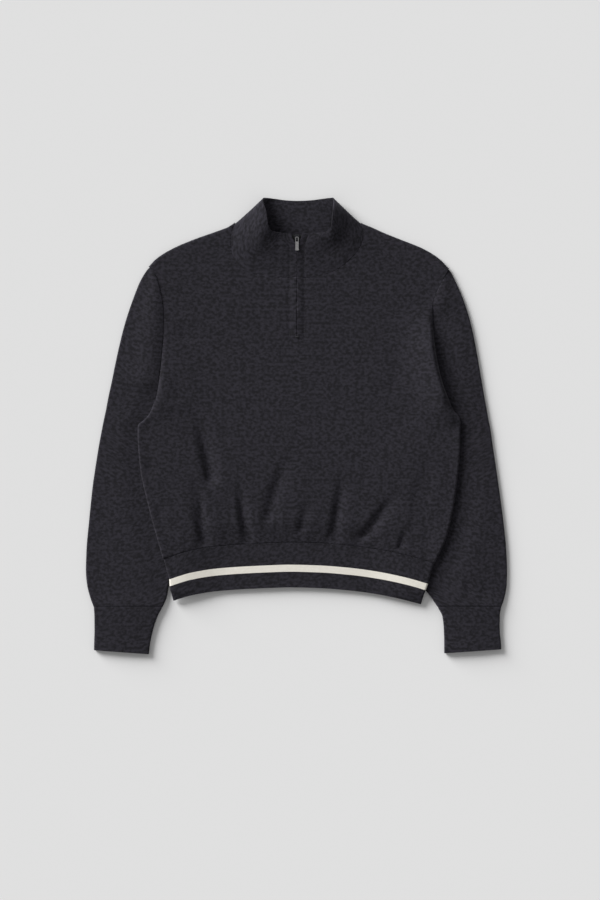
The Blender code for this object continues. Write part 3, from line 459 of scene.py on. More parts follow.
left_hidden = hidden_edge(LEFT_SLEEVE, LEFT_UNDERARM_Y, left_edge)
right_hidden = hidden_edge(RIGHT_SLEEVE, RIGHT_UNDERARM_Y, right_edge)
LIFT_MARGIN, LIFT_RUN = 11.0, 32.0  # full height so far past the sleeve's edge, then down over this width
LIFT_FADE_ABOVE, LIFT_FADE_BELOW = 40.0, 30.0  # heights over which it fades, above and below the sleeve
UNDERARM_FULL = 14.0  # so far above the underarm the body keeps its full lift
FRONT_RUN, FRONT_FADE = 80.0, 120.0  # the front spreads that rise wider than the back
LEVELLING = 0.8  # share of the air that goes where the sleeves raise the body
SLEEVE_CROSSES_HEM_Y = -260.0  # where each sleeve comes out from under the body


def lift(x: Number, y: Number, run: float = LIFT_RUN, fade: float = LIFT_FADE_ABOVE) -> Number:
    """How far the sleeves under the body raise it.

    Args:
        x: Where, across the garment.
        y: Where, up the garment.
        run: Width over which the rise fades out across.
        fade: Height over which it fades out above the underarm.

    Returns:
        Millimetres.
    """
    below = ease(1 + (y - SLEEVE_CROSSES_HEM_Y) / LIFT_FADE_BELOW)
    left = ease((left_hidden(y) + LIFT_MARGIN + run - x) / run)
    left = left * ease((LEFT_UNDERARM_Y + UNDERARM_FULL + fade - y) / fade)
    right = ease((x - right_hidden(y) + LIFT_MARGIN + run) / run)
    right = right * ease((RIGHT_UNDERARM_Y + UNDERARM_FULL + fade - y) / fade)
    return LIFT * below * np.maximum(left, right)


def side_puff(x: Number, y: Number) -> Number:
    """How much the front swells towards its two armholes, more on the right, where it hangs over the seam."""
    left = LEFT_PUFF * np.exp(-(((x - left_edge(y)) / PUFF_WIDTH) ** 2))
    right = RIGHT_PUFF * np.exp(-(((right_edge(y) - x) / PUFF_WIDTH) ** 2))
    fades = ease((y - PUFF_LOW_Y) / PUFF_LOW_FADE) * ease((PUFF_HIGH_Y - y) / PUFF_HIGH_FADE)
    return (left + right) * fades


def back_middle(x: Number, y: Number) -> Number:
    """Height of the back's middle surface away from its edges."""
    return WALL / 2 + lift(x, y)


def band_top(x: Number) -> Number:
    """Y of the line where the hem band is sewn on."""
    return BAND_TOP_Y - hem_sag(x)


def front_middle(x: Number, y: Number, fine: bool = True) -> Number:
    """Height of the front's middle surface away from its edges, with or without its finer hollows."""
    up = y - band_top(x)
    blouse = ease(up / BLOUSE_RISE) * ease((BLOUSE_END - up) / BLOUSE_FADE)
    raised = lift(x, y, FRONT_RUN, FRONT_FADE)
    air = (CHEST_AIR + (BLOUSE_AIR - CHEST_AIR) * blouse) * (1 - LEVELLING * raised / LIFT)
    room = air + raised - lift(x, y) - LEAST_AIR
    creased = np.minimum(CREASE_SHARE * trough(CREASES, x, y) * ease(up / 5.0), room)
    raised = 1.5 * WALL + raised + air - creased - BAND_NIP * (1 - ease(up / NIP_HEIGHT))
    return raised - soft_relief(x, y, up) + side_puff(x, y) if fine else raised


def soft_relief(x: Number, y: Number, up: Number) -> Number:
    """The finer hollows of the front, which the solids don't have.

    Args:
        x: Where, across the garment.
        y: Where, up the garment.
        up: Height above the line where the hem band is sewn on.

    Returns:
        Millimetres to sink by.
    """
    small = trough(SMALL_CREASES, x, y)
    waves = np.sin(x / GATHER_STEP + GATHER_STRAY * np.sin(x / STRAY_STEP))
    gathers = GATHER_DEPTH * waves * ease(up / 6.0) * np.exp(-up / GATHER_FADE)
    beside = np.abs(x - ZIP_X)
    placket = np.exp(-(((beside - PLACKET_HALF) / GROOVE_WIDTH) ** 2)) * GROOVE_DEPTH
    placket = placket - ROOF_RISE * (1 - ease(beside / ROOF_HALF))
    end = np.exp(-(((y - SLIT_END_Y) / END_WIDTH) ** 2)) * END_DEPTH * (beside < PLACKET_HALF + 1)
    zone = ease((y - SLIT_END_Y + 1.5) / 3.0)
    return small + gathers + placket * zone + end


def across_panel(side: str, amount: float, y: Number) -> Number:
    """X of a column: so far from the left or right edge, or this share of the way between."""
    left, right = left_edge(y), right_edge(y)
    if side == "left":
        return left + amount
    if side == "right":
        return right - amount
    return (left + SIDE_RADIUS) * (1 - amount) + (right - SIDE_RADIUS) * amount


def column_ends(side: str, amount: float) -> tuple[float, float]:
    """Y of the two ends of a panel's column, at the hem band and at the shoulder."""
    ends = []
    for line, low, high in ((band_top, -240.0, -150.0), (shoulder, 200.0, 340.0)):
        for _ in range(40):
            middle = (low + high) / 2
            if middle < line(across_panel(side, amount, middle)):
                low = middle
            else:
                high = middle
        ends.append((low + high) / 2)
    return float(ends[0]) + SEAM_DRAWN, float(ends[1])


def panel_height(x: np.ndarray, y: np.ndarray, below: np.ndarray, is_front: bool) -> np.ndarray:
    """Height of a panel's middle surface, with its edges rolled to the seams.

    Args:
        x: Across the garment.
        y: Up the garment.
        below: Distance below the shoulder line.
        is_front: The front panel, or else the back.

    Returns:
        The heights, in millimetres.
    """
    from_left, from_right = x - left_edge(y), right_edge(y) - x
    underarm = np.where(from_left < from_right, LEFT_UNDERARM_Y, RIGHT_UNDERARM_Y)
    inward = np.maximum(np.minimum(from_left, from_right), 0.0)
    back = back_middle(x, y)
    side_top = back + 2 * SIDE_RADIUS
    seam = (back + side_top) / 2
    open_share = ease((y - underarm) / 24.0)
    half_gap = FOLD_SEAM_GAP / 2 if is_front else -FOLD_SEAM_GAP / 2
    if is_front:
        front = front_middle(x, y)
        near_side = ease(inward / 14.0)
        armhole_edge = np.maximum(ARMHOLE_HEIGHT, back + WALL + 2 * SEAM_GAP)
        edge = (seam + half_gap) * (1 - open_share) + armhole_edge * open_share
        blend = fold(inward, SIDE_RADIUS) * (1 - open_share) + ease(inward / ARMHOLE_ROLL) * open_share
        top = side_top * (1 - near_side) + front * near_side
        top = top * (1 - open_share) + front * open_share
        height = edge + (top - edge) * blend
    else:
        edge = (seam + half_gap) * (1 - open_share) + back * open_share
        height = edge + (back - edge) * fold(inward, SIDE_RADIUS)
    shoulder_seam = WALL / 2 + FOLD_RADIUS + half_gap
    return shoulder_seam + (height - shoulder_seam) * fold(np.maximum(below, 0.0), FOLD_RADIUS)


class RowAt(NamedTuple):
    """One column of a table against its row's number."""

    k: float
    value: float


def by_row(rows: Sequence[NamedTuple]) -> list[Curve]:
    """A curve over the row's number for each column of a table."""
    return [
        Curve([RowAt(k, row[column]) for k, row in enumerate(rows)], "k", "value")
        for column in range(len(rows[0]))
    ]


STAND_CURVES = by_row(COLLAR)


def collar_point(k: float, v: float, fine: bool = False) -> tuple[float, float, float]:
    """A point of the collar's middle surface.

    Args:
        k: Along the rows of COLLAR.
        v: 0 at the seam, 1 at the rim.
        fine: With the grooves of its stitching beside the zip.

    Returns:
        The point, in millimetres.
    """
    now = Stand(*(float(curve(k)) for curve in STAND_CURVES))
    if fine and now.seam_z > 5.6:
        v -= COLLAR_TUCK * (1 - v)
    x = now.seam_x + (now.rim_x - now.seam_x) * v
    y = now.seam_y + (now.rim_y - now.seam_y) * v
    rise = 0.35 * v + 0.65 * float(ease(v))
    z = now.seam_z + (now.rim_z - now.seam_z) * rise
    z -= now.hollow * math.exp(-(((v - HOLLOW_AT) / HOLLOW_WIDTH) ** 2))
    if fine:
        reach = (SLIT_WIDTH - SLIT_SHOWN) / 2
        x += reach * (float(ease(1 - k / 0.4)) - float(ease(1 - (len(COLLAR) - 1 - k) / 0.4)))
    if fine and now.seam_z > 5.6:
        beside = abs(x - ZIP_X)
        z += COLLAR_ROOF * (1 - float(ease(beside / ROOF_HALF)))
        z -= COLLAR_GROOVE * math.exp(-(((beside - PLACKET_HALF) / COLLAR_GROOVE_WIDTH) ** 2))
        z -= RIM_SINK * math.exp(-((v / RIM_SINK_SHARE) ** 2))
        for dent in COLLAR_DENTS:
            away = ((x - dent.x) / dent.half_width) ** 2 + ((y - dent.y) / dent.half_height) ** 2
            z -= dent.depth * math.exp(-away)
    parting = float(ease((v - NOTCH_FROM) / (1 - NOTCH_FROM)))
    x -= NOTCH_LEFT * parting * float(ease(1 - k / NOTCH_STANDS))
    x += NOTCH_RIGHT * parting * float(ease(1 - (len(COLLAR) - 1 - k) / NOTCH_STANDS))
    return (x, y, z)


def placed(x: float, y: float, z: float) -> tuple[float, float, float]:
    """A point of the pattern's frame in the model's frame, in metres."""
    return ((x + PLACE_X) * MM, (y + PLACE_Y) * MM, z * MM)


# ---- finishes ----
class Slot(Enum):
    """The record's material slots."""

    KNIT = "charcoal_knit"
    BAND = "charcoal_band_knit"
    TAPE = "zip_tape_weave"
    METAL = "polished_metal"


class Nodes:
    """Adds shader nodes to a tree, and links them."""

    def __init__(self, tree: bpy.types.NodeTree) -> None:
        """Keeps the tree."""
        self.tree = tree

    def add(self, kind: str, links: dict | None = None, **settings: object) -> bpy.types.Node:
        """Adds a node.

        Args:
            kind: Its type, without the ShaderNode in front.
            links: Its inputs, each a value or another node's output.
            settings: Its properties.

        Returns:
            The node.
        """
        node = self.tree.nodes.new("ShaderNode" + kind)
        for name, value in settings.items():
            setattr(node, name, value)
        for name, value in (links or {}).items():
            if isinstance(value, bpy.types.NodeSocket):
                self.tree.links.new(value, node.inputs[name])
            else:
                node.inputs[name].default_value = value
        return node

    def feed(self, shader: bpy.types.Node, **inputs: object) -> None:
        """Sets or links inputs of a shader, named with _ for each space."""
        for name, value in inputs.items():
            socket = shader.inputs[name.replace("_", " ")]
            if isinstance(value, bpy.types.NodeSocket):
                self.tree.links.new(value, socket)
            else:
                socket.default_value = value

    def math(self, operation: str, *values: object) -> bpy.types.NodeSocket:
        """A Math node's result."""
        return self.add("Math", dict(enumerate(values)), operation=operation).outputs[0]


Group = tuple[bpy.types.NodeTree, Nodes, bpy.types.Node, bpy.types.Node]


def group(name: str, inputs: dict[str, float], outputs: Sequence[str]) -> Group:
    """Starts a shader node group.

    Args:
        name: The group's name.
        inputs: Its number inputs, with their defaults; a vector UV comes before them.
        outputs: Its number outputs.

    Returns:
        The group, a helper that adds nodes to it, and its input and output nodes.
    """
    tree = bpy.data.node_groups.new(name, "ShaderNodeTree")
    tree.interface.new_socket("UV", in_out="INPUT", socket_type="NodeSocketVector")
    for label, value in inputs.items():
        tree.interface.new_socket(label, in_out="INPUT", socket_type="NodeSocketFloat").default_value = value
    for label in outputs:
        tree.interface.new_socket(label, in_out="OUTPUT", socket_type="NodeSocketFloat")
    return tree, Nodes(tree), tree.nodes.new("NodeGroupInput"), tree.nodes.new("NodeGroupOutput")


def heather_group() -> bpy.types.NodeTree:
    """The uneven yarn of a heathered knit: short streaks along the courses, over slow cloudiness."""
    tree, nodes, given, out = group(
        "heathered_yarn", {"Streak mm": 10.0, "Course mm": 3.6, "Contrast": 1.0}, ["Shade", "Fibre"]
    )
    parts = nodes.add("SeparateXYZ", {0: given.outputs["UV"]})

    def noise(across: object, up: object, detail: float) -> bpy.types.NodeSocket:
        """Noise stretched to these two lengths."""
        vector = nodes.add("CombineXYZ", {
            0: nodes.math("DIVIDE", parts.outputs[0], across), 1: nodes.math("DIVIDE", parts.outputs[1], up)})
        return nodes.add("TexNoise", {"Vector": vector.outputs[0], "Scale": 1.0, "Detail": detail}).outputs[0]

    streak = nodes.math("MULTIPLY", given.outputs["Streak mm"], MM)
    course = nodes.math("MULTIPLY", given.outputs["Course mm"], MM)
    fine = noise(streak, course, 3.0)
    dots = noise(nodes.math("MULTIPLY", course, 1.1), nodes.math("MULTIPLY", course, 1.0), 2.0)
    slow = noise(nodes.math("MULTIPLY", streak, 3.0), nodes.math("MULTIPLY", course, 4.0), 2.0)
    total = nodes.math("ADD", nodes.math("MULTIPLY", fine, 0.9), nodes.math("MULTIPLY", dots, 1.0))
    total = nodes.math("ADD", total, nodes.math("MULTIPLY", slow, 0.25))
    centred = nodes.math("SUBTRACT", total, 1.075)
    shade = nodes.math("MULTIPLY_ADD", nodes.math("MULTIPLY", centred, given.outputs["Contrast"]), 1.0, 0.5)
    tree.links.new(nodes.add("Clamp", {"Value": shade}).outputs[0], out.inputs["Shade"])
    tree.links.new(dots, out.inputs["Fibre"])
    return tree


def stitch_group() -> bpy.types.NodeTree:
    """The stitches of a plain knit: columns of slanting loops, as a height from 0 to 1."""
    sizes = {"Wale mm": 2.1, "Course mm": 1.6, "Slant": 0.8}
    tree, nodes, given, out = group("knit_stitches", sizes, ["Height"])
    parts = nodes.add("SeparateXYZ", {0: given.outputs["UV"]})
    wale = nodes.math("DIVIDE", parts.outputs[0], nodes.math("MULTIPLY", given.outputs["Wale mm"], MM))
    course = nodes.math("DIVIDE", parts.outputs[1], nodes.math("MULTIPLY", given.outputs["Course mm"], MM))
    side = nodes.math("ABSOLUTE", nodes.math("SUBTRACT", nodes.math("FRACT", wale), 0.5))
    slanted = nodes.math("ADD", course, nodes.math("MULTIPLY", side, given.outputs["Slant"]))
    loop = nodes.math("SINE", nodes.math("MULTIPLY", nodes.math("FRACT", slanted), math.pi))
    leg = nodes.math("SINE", nodes.math("MULTIPLY", nodes.math("MULTIPLY", side, 2.0), math.pi))
    loop, leg = nodes.math("MULTIPLY_ADD", loop, 0.6, 0.4), nodes.math("MULTIPLY_ADD", leg, 0.7, 0.3)
    height = nodes.math("MULTIPLY", loop, leg)
    tree.links.new(height, out.inputs["Height"])
    return tree


def mix(nodes: Nodes, share: object, first: object, second: object) -> bpy.types.NodeSocket:
    """A colour between two, by a share."""
    node = nodes.tree.nodes.new("ShaderNodeMix")
    node.data_type = "RGBA"
    for index, value in ((0, share), (6, first), (7, second)):
        if isinstance(value, bpy.types.NodeSocket):
            nodes.tree.links.new(value, node.inputs[index])
        else:
            node.inputs[index].default_value = value
    return node.outputs[2]


def started(name: str) -> tuple[bpy.types.Material, Nodes, bpy.types.Node]:
    """A new material, a helper that adds nodes to it, and its Principled BSDF."""
    made = bpy.data.materials.new(name)
    made.use_nodes = True
    return made, Nodes(made.node_tree), made.node_tree.nodes["Principled BSDF"]


@dataclass(frozen=True)
class KnitFinish:
    """A heathered wool knit, with painted shade in the hollows between its loops."""

    name: str
    dark: tuple[float, float, float]
    light: tuple[float, float, float]
    contrast: float = 3.3
    streak_mm: float = 7.6
    course_mm: float = 4.4
    bump_mm: float = 0.35
    sheen: float = 0.12

    def material(self, heather: bpy.types.NodeTree, stitches: bpy.types.NodeTree) -> bpy.types.Material:
        """Builds the material.

        Args:
            heather: The group of the uneven yarn.
            stitches: The group of the knit's loops.

        Returns:
            The material, which follows each piece's own UV map.
        """
        made, nodes, shader = started(self.name)
        uv = nodes.add("UVMap", uv_map="cloth").outputs[0]
        yarn = nodes.add("Group", node_tree=heather)
        loops = nodes.add("Group", node_tree=stitches)
        nodes.feed(yarn, UV=uv, Streak_mm=self.streak_mm, Course_mm=self.course_mm, Contrast=self.contrast)
        nodes.feed(loops, UV=uv)
        colour = mix(nodes, yarn.outputs["Shade"], (*self.dark, 1.0), (*self.light, 1.0))
        # painted shade: the colour darkens towards the hollows between the stitch loops, where shade falls
        painted_loop_shade = nodes.math("MULTIPLY_ADD", loops.outputs["Height"], -0.35, 0.3)
        colour = mix(nodes, painted_loop_shade, colour, (*[c * 0.45 for c in self.dark], 1.0))
        rough = nodes.math("MULTIPLY_ADD", yarn.outputs["Fibre"], 0.12, 0.86)
        fibre = nodes.math("MULTIPLY", yarn.outputs["Fibre"], 0.5)
        height = nodes.math("ADD", loops.outputs["Height"], fibre)
        bump = nodes.add("Bump", {"Strength": 0.6, "Distance": self.bump_mm * MM, "Height": height})
        nodes.feed(shader, Base_Color=colour, Roughness=rough, Normal=bump.outputs[0],
                   Specular_IOR_Level=0.25, Sheen_Weight=self.sheen, Sheen_Roughness=0.5,
                   Sheen_Tint=(0.62, 0.60, 0.70, 1.0))
        return made


@dataclass(frozen=True)
class TapeFinish:
    """A woven or moulded dark trim, with a fine rib."""

    name: str
    colour: tuple[float, float, float]
    rib_mm: float
    roughness: float = 0.7

    def material(self) -> bpy.types.Material:
        """Builds the material, on Object coordinates."""
        made, nodes, shader = started(self.name)
        where = nodes.add("TexCoord").outputs["Object"]
        scale = 0.5 / (self.rib_mm * MM) / 3.14
        wave = nodes.add("TexWave", {"Vector": where, "Scale": scale, "Distortion": 0.4}, bands_direction="Y")
        grain = nodes.add("TexNoise", {"Vector": where, "Scale": 900.0, "Detail": 2.0}).outputs[0]
        pale = tuple(min(1.0, c * 1.7) for c in self.colour)
        colour = mix(nodes, nodes.math("MULTIPLY", wave.outputs[1], grain), (*self.colour, 1.0), (*pale, 1.0))
        rough = nodes.math("MULTIPLY_ADD", grain, 0.2, self.roughness - 0.1)
        bump = nodes.add("Bump", {"Strength": 0.5, "Distance": 0.0002, "Height": wave.outputs[1]})
        nodes.feed(shader, Base_Color=colour, Roughness=rough, Normal=bump.outputs[0])
        return made


@dataclass(frozen=True)
class MetalFinish:
    """Polished nickel, with fine scratches, and duller patches at random that are painted darker reflections.
    """

    name: str
    bright: tuple[float, float, float] = (0.66, 0.65, 0.65)
    dark_reflection: tuple[float, float, float] = (0.16, 0.16, 0.17)

    def material(self) -> bpy.types.Material:
        """Builds the material, on Object coordinates."""
        made, nodes, shader = started(self.name)
        where = nodes.add("TexCoord").outputs["Object"]
        scratch = nodes.add("TexNoise", {"Vector": where, "Scale": 1600.0, "Detail": 3.0}).outputs[0]
        painted_dark_reflection = nodes.add("TexNoise", {"Vector": where, "Scale": 260.0, "Detail": 1.0}).outputs[0]
        # painted reflection: random patches darken the colour, standing in for darker reflections of the
        # surroundings
        colour = mix(nodes, nodes.math("MULTIPLY", painted_dark_reflection, 0.55), (*self.bright, 1.0), (*self.dark_reflection, 1.0))
        rough = nodes.math("MULTIPLY_ADD", scratch, 0.2, 0.16)
        bump = nodes.add("Bump", {"Strength": 0.25, "Distance": 0.00005, "Height": scratch})
        nodes.feed(shader, Base_Color=colour, Roughness=rough, Metallic=1.0, Normal=bump.outputs[0])
        return made


# ---- making pieces ----
def alone(thing: bpy.types.Object) -> None:
    """Selects one object and makes it active."""
    bpy.ops.object.select_all(action="DESELECT")
    thing.select_set(True)
    bpy.context.view_layer.objects.active = thing


def applied(thing: bpy.types.Object, kind: str, **settings: object) -> None:
    """Adds a modifier with these settings and applies it."""
    change = thing.modifiers.new(kind.lower(), kind)
    for name, value in settings.items():
        setattr(change, name, value)
    alone(thing)
    bpy.ops.object.modifier_apply(modifier=change.name)


def cloth(name: str, grid: Sequence[Sequence[Sequence[float]]], uv: Sequence[Sequence[Sequence[float]]],
          thickness: float, closed: bool = False, round_rim: float = 0.0) -> bpy.types.Object:
    """A shell of knit round a middle surface.

    Args:
        name: The piece's name.
        grid: The middle surface's points in millimetres, column by column.
        uv: The same points on the flat cloth, in metres, with one column more if closed.
        thickness: The knit's thickness in millimetres.
        closed: The columns close into a tube.
        round_rim: Radius of the rim's rounding, in millimetres.

    Returns:
        The shell.
    """
    columns, rows = len(grid), len(grid[0])
    mesh = bpy.data.meshes.new(name)
    faces, corners = [], []
    for i in range(columns if closed else columns - 1):
        for j in range(rows - 1):
            here, there = i * rows, (i + 1) % columns * rows
            faces.append((here + j, there + j, there + j + 1, here + j + 1))
            corners += [uv[i][j], uv[i + 1][j], uv[i + 1][j + 1], uv[i][j + 1]]
    mesh.from_pydata([placed(*point) for column in grid for point in column], [], faces)
    layer = mesh.uv_layers.new(name="cloth")
    layer.data.foreach_set("uv", np.array(corners, np.float32).ravel())
    thing = bpy.data.objects.new(name, mesh)
    bpy.context.scene.collection.objects.link(thing)
    applied(thing, "SOLIDIFY", thickness=thickness * MM, offset=0.0, use_even_offset=False)
    if round_rim:
        applied(thing, "BEVEL", width=round_rim * MM, segments=3, limit_method="ANGLE",
                angle_limit=math.radians(55))
    alone(thing)
    bpy.ops.object.shade_smooth()
    return thing


def cut_with(thing: bpy.types.Object, outline: Sequence[tuple[float, float]]) -> None:
    """Takes an upright prism away from a piece.

    Args:
        thing: The piece.
        outline: The prism's outline in plan, in millimetres.
    """
    mesh = bpy.data.meshes.new("cutter")
    shape = bmesh.new()
    base = [shape.verts.new(placed(x, y, -20.0)) for x, y in outline]
    raised = bmesh.ops.extrude_face_region(shape, geom=[shape.faces.new(base)])["geom"]
    top = [v for v in raised if isinstance(v, bmesh.types.BMVert)]
    bmesh.ops.translate(shape, verts=top, vec=(0, 0, 80 * MM))
    bmesh.ops.recalc_face_normals(shape, faces=shape.faces)
    shape.to_mesh(mesh)
    shape.free()
    cutter = bpy.data.objects.new("cutter", mesh)
    bpy.context.scene.collection.objects.link(cutter)
    applied(thing, "BOOLEAN", operation="DIFFERENCE", solver="MANIFOLD", object=cutter)
    bpy.data.objects.remove(cutter, do_unlink=True)


def finished(thing: bpy.types.Object, finish: bpy.types.Material, slot: Slot, body: str,
             *nodes: str) -> None:
    """Dresses a piece and places it in the frame.

    Args:
        thing: The piece.
        finish: Its material.
        slot: The record's slot of that material; not used.
        body: The body it rides on.
        nodes: The solids it stands for.
    """
    if not any(thing.data.materials):
        thing.data.materials.clear()
        thing.data.materials.append(finish)
    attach(thing, body)
    if nodes:
        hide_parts(*nodes)
    log.info("%s: %d faces", thing.name, len(thing.data.polygons))


GARMENT, PULL_TAB = "garment", "pull_tab"


def seam_line() -> tuple[list, list]:
    """The collar's seam line in plan: its front part and its back part, each from left to right."""
    count = 2 * (len(COLLAR) - 1)
    seam = [collar_point(i / 2, 0.0)[:2] for i in range(count + 1)]
    first, last = 2 * COLLAR_BACK_FIRST, 2 * COLLAR_BACK_LAST
    return list(reversed(seam[: first + 1])) + list(reversed(seam[last:])), seam[first : last + 1]


def neck_outline(line: Sequence[tuple[float, float]]) -> list[tuple[float, float]]:
    """What a panel loses inside the collar's seam line."""
    path = np.array(line, float)
    along = np.gradient(path, axis=0)
    along /= np.linalg.norm(along, axis=1)[:, None]
    clear = SEAM_DRAWN + 0.2 * np.abs(np.linspace(-1.0, 1.0, len(path))) ** 3
    path = path + np.stack([along[:, 1], -along[:, 0]], axis=1) * clear[:, None]
    first, last = path[0], path[-1]
    outline = [(first[0] - 1.7, 360.0), (first[0] - 1.7, first[1] + 1.1), *map(tuple, path)]
    return outline + [(last[0] + 1.7, last[1] + 1.1), (last[0] + 1.7, 360.0)]


@dataclass
class Body:
    """The front and back panels."""

    knit: bpy.types.Material
    column_mm: float = 3.2
    rows: int = 150
    flat: tuple[float, float] = (0.515, 0.545)
    front_area: float = 0.22341
    back_area: float = 0.23221
    seam_sinks: float = 0.62

    def spacing(self) -> list[tuple[str, float]]:
        """The columns, from the left edge to the right one."""
        corner = [SIDE_RADIUS * (1 - math.cos(math.radians(a))) for a in (0, 10, 25, 40, 58, 75, 90)]
        count = round(510 / self.column_mm)
        between = [("between", i / count) for i in range(1, count)]
        return [("left", d) for d in corner] + between + [("right", d) for d in reversed(corner)]

    def panel(self, name: str, is_front: bool, seam: np.ndarray) -> bpy.types.Object:
        """One panel's shell, before its neck is cut.

        Args:
            name: The panel's name.
            is_front: The front panel, or else the back.
            seam: The line of its neck seam, along which it sinks a little.

        Returns:
            The shell.
        """
        ends = [FOLD_RADIUS * (1 - math.cos(math.radians(a))) for a in (90, 70, 50, 30, 15, 0)]
        grid, uv = [], []
        for side, amount in self.spacing():
            bottom, top = column_ends(side, amount)
            share = np.linspace(0.0, 1.0, self.rows)
            y = np.concatenate([bottom + (top - ends[0] - bottom) * share, top - np.array(ends[1:])])
            x = across_panel(side, amount, y)
            near = np.hypot(x[:, None] - seam[:, 0], y[:, None] - seam[:, 1]).min(axis=1)
            z = panel_height(x, y, top - y, is_front)
            z = z - self.seam_sinks * np.exp(-(((near - 1.0) / 2.6) ** 2))
            grid.append(np.stack([x, y, z], axis=1).tolist())
            uv.append(np.stack([x * MM, y * MM], axis=1).tolist())
        return cloth(name, grid, uv, WALL)

    def build(self) -> None:
        """Makes both panels."""
        front_line, back_line = seam_line()
        half = SLIT_SHOWN / 2
        low, high = SLIT_END_Y, 260.0
        slit = [(ZIP_X - half, low), (ZIP_X + half, low), (ZIP_X + half, high), (ZIP_X - half, high)]
        panels = (("front", True, front_line, self.front_area), ("back", False, back_line, self.back_area))
        for name, is_front, line, area in panels:
            panel = self.panel(name, is_front, np.array(line))
            cut_with(panel, neck_outline(line))
            if is_front:
                cut_with(panel, slit)
            finished(panel, self.knit, Slot.KNIT, GARMENT, name + "_panel")


def tube_ring(outer: Sequence[float], inner: Sequence[float], top: Callable[[float, float, float], float],
              bottom: Callable[[float, float], float], radius: float, thickness: float,
              across: int, slants: Sequence[float] = (1.0, 1.0)) -> list:
    """One ring of a laid tube's middle surface.

    Args:
        outer: Its outer edge in plan.
        inner: Its inner edge in plan.
        top: Height of the upper layer, by the share of the way across, X and Y.
        bottom: Height of the lower layer, by X and Y.
        radius: Of the folds at both edges.
        thickness: Of the cloth.
        across: How many steps it has between its folds.
        slants: Sines of its angles to the two edges; a slanting ring has longer folds.

    Returns:
        Its points, over the top from the outer edge to the inner, and back below.
    """
    ax, ay = outer
    bx, by = inner
    length = math.hypot(bx - ax, by - ay)
    insets = [thickness / 2 / length / slant for slant in slants]
    leads = [radius / length / slant for slant in slants]
    low_end, high_end = insets[0] + leads[0], 1 - insets[1] - leads[1]
    shares = [i / across for i in range(across + 1)]
    flat = [low_end + (high_end - low_end) * w for w in shares]

    def point(w: float, level: float) -> tuple[float, float, float]:
        """A point this share of the way across, and up from the lower layer."""
        x, y = ax + (bx - ax) * w, ay + (by - ay) * w
        low, high = bottom(x, y), top(w, x, y)
        return (x, y, low + (high - low) * level)

    def edge(angles: Sequence[float], side: int) -> list:
        """The points of one fold."""
        ring = []
        for angle in angles:
            turn = math.radians(angle)
            inward = insets[side] + leads[side] * (1 - math.cos(turn))
            ring.append(point(1 - inward if side else inward, (1 + math.sin(turn)) / 2))
        return ring

    turns = (-72, -54, -36, -18, 0, 18, 36, 54, 72)
    ring = edge(turns, 0) + [point(w, 1.0) for w in flat]
    return ring + edge(turns[::-1], 1) + [point(w, 0.0) for w in reversed(flat)]


def tube_uv(rings: Sequence[Sequence[Sequence[float]]]) -> list:
    """A tube's rings on the flat cloth, by lengths along it: a list for each of its lines, and one more."""
    points = np.array(rings, float)
    closed = np.concatenate([points, points[:, :1]], axis=1)
    around = np.cumsum(np.linalg.norm(np.diff(closed, axis=1), axis=2), axis=1)
    around = np.concatenate([np.zeros((len(points), 1)), around], axis=1)
    along = np.cumsum(np.linalg.norm(np.diff(closed, axis=0), axis=2), axis=0)
    along = np.concatenate([np.zeros((1, closed.shape[1])), along], axis=0)
    middle = around - around.mean(axis=1, keepdims=True)
    flat = np.stack([middle, -along], axis=2) * MM
    return flat.transpose(1, 0, 2).tolist()


def tube(name: str, rings: Sequence, thickness: float, round_rim: float = 0.0) -> bpy.types.Object:
    """A closed shell through a tube's rings."""
    lines = [list(line) for line in zip(*rings)]
    return cloth(name, lines, tube_uv(rings), thickness, closed=True, round_rim=round_rim)


def cuff_top(w: float) -> float:
    """Height of a cuff's upper middle surface, by the share of the way across."""
    return BAND_WALL / 2 + CUFF_HEIGHT + CUFF_CROWN * math.sin(math.pi * min(max(w, 0.0), 1.0))


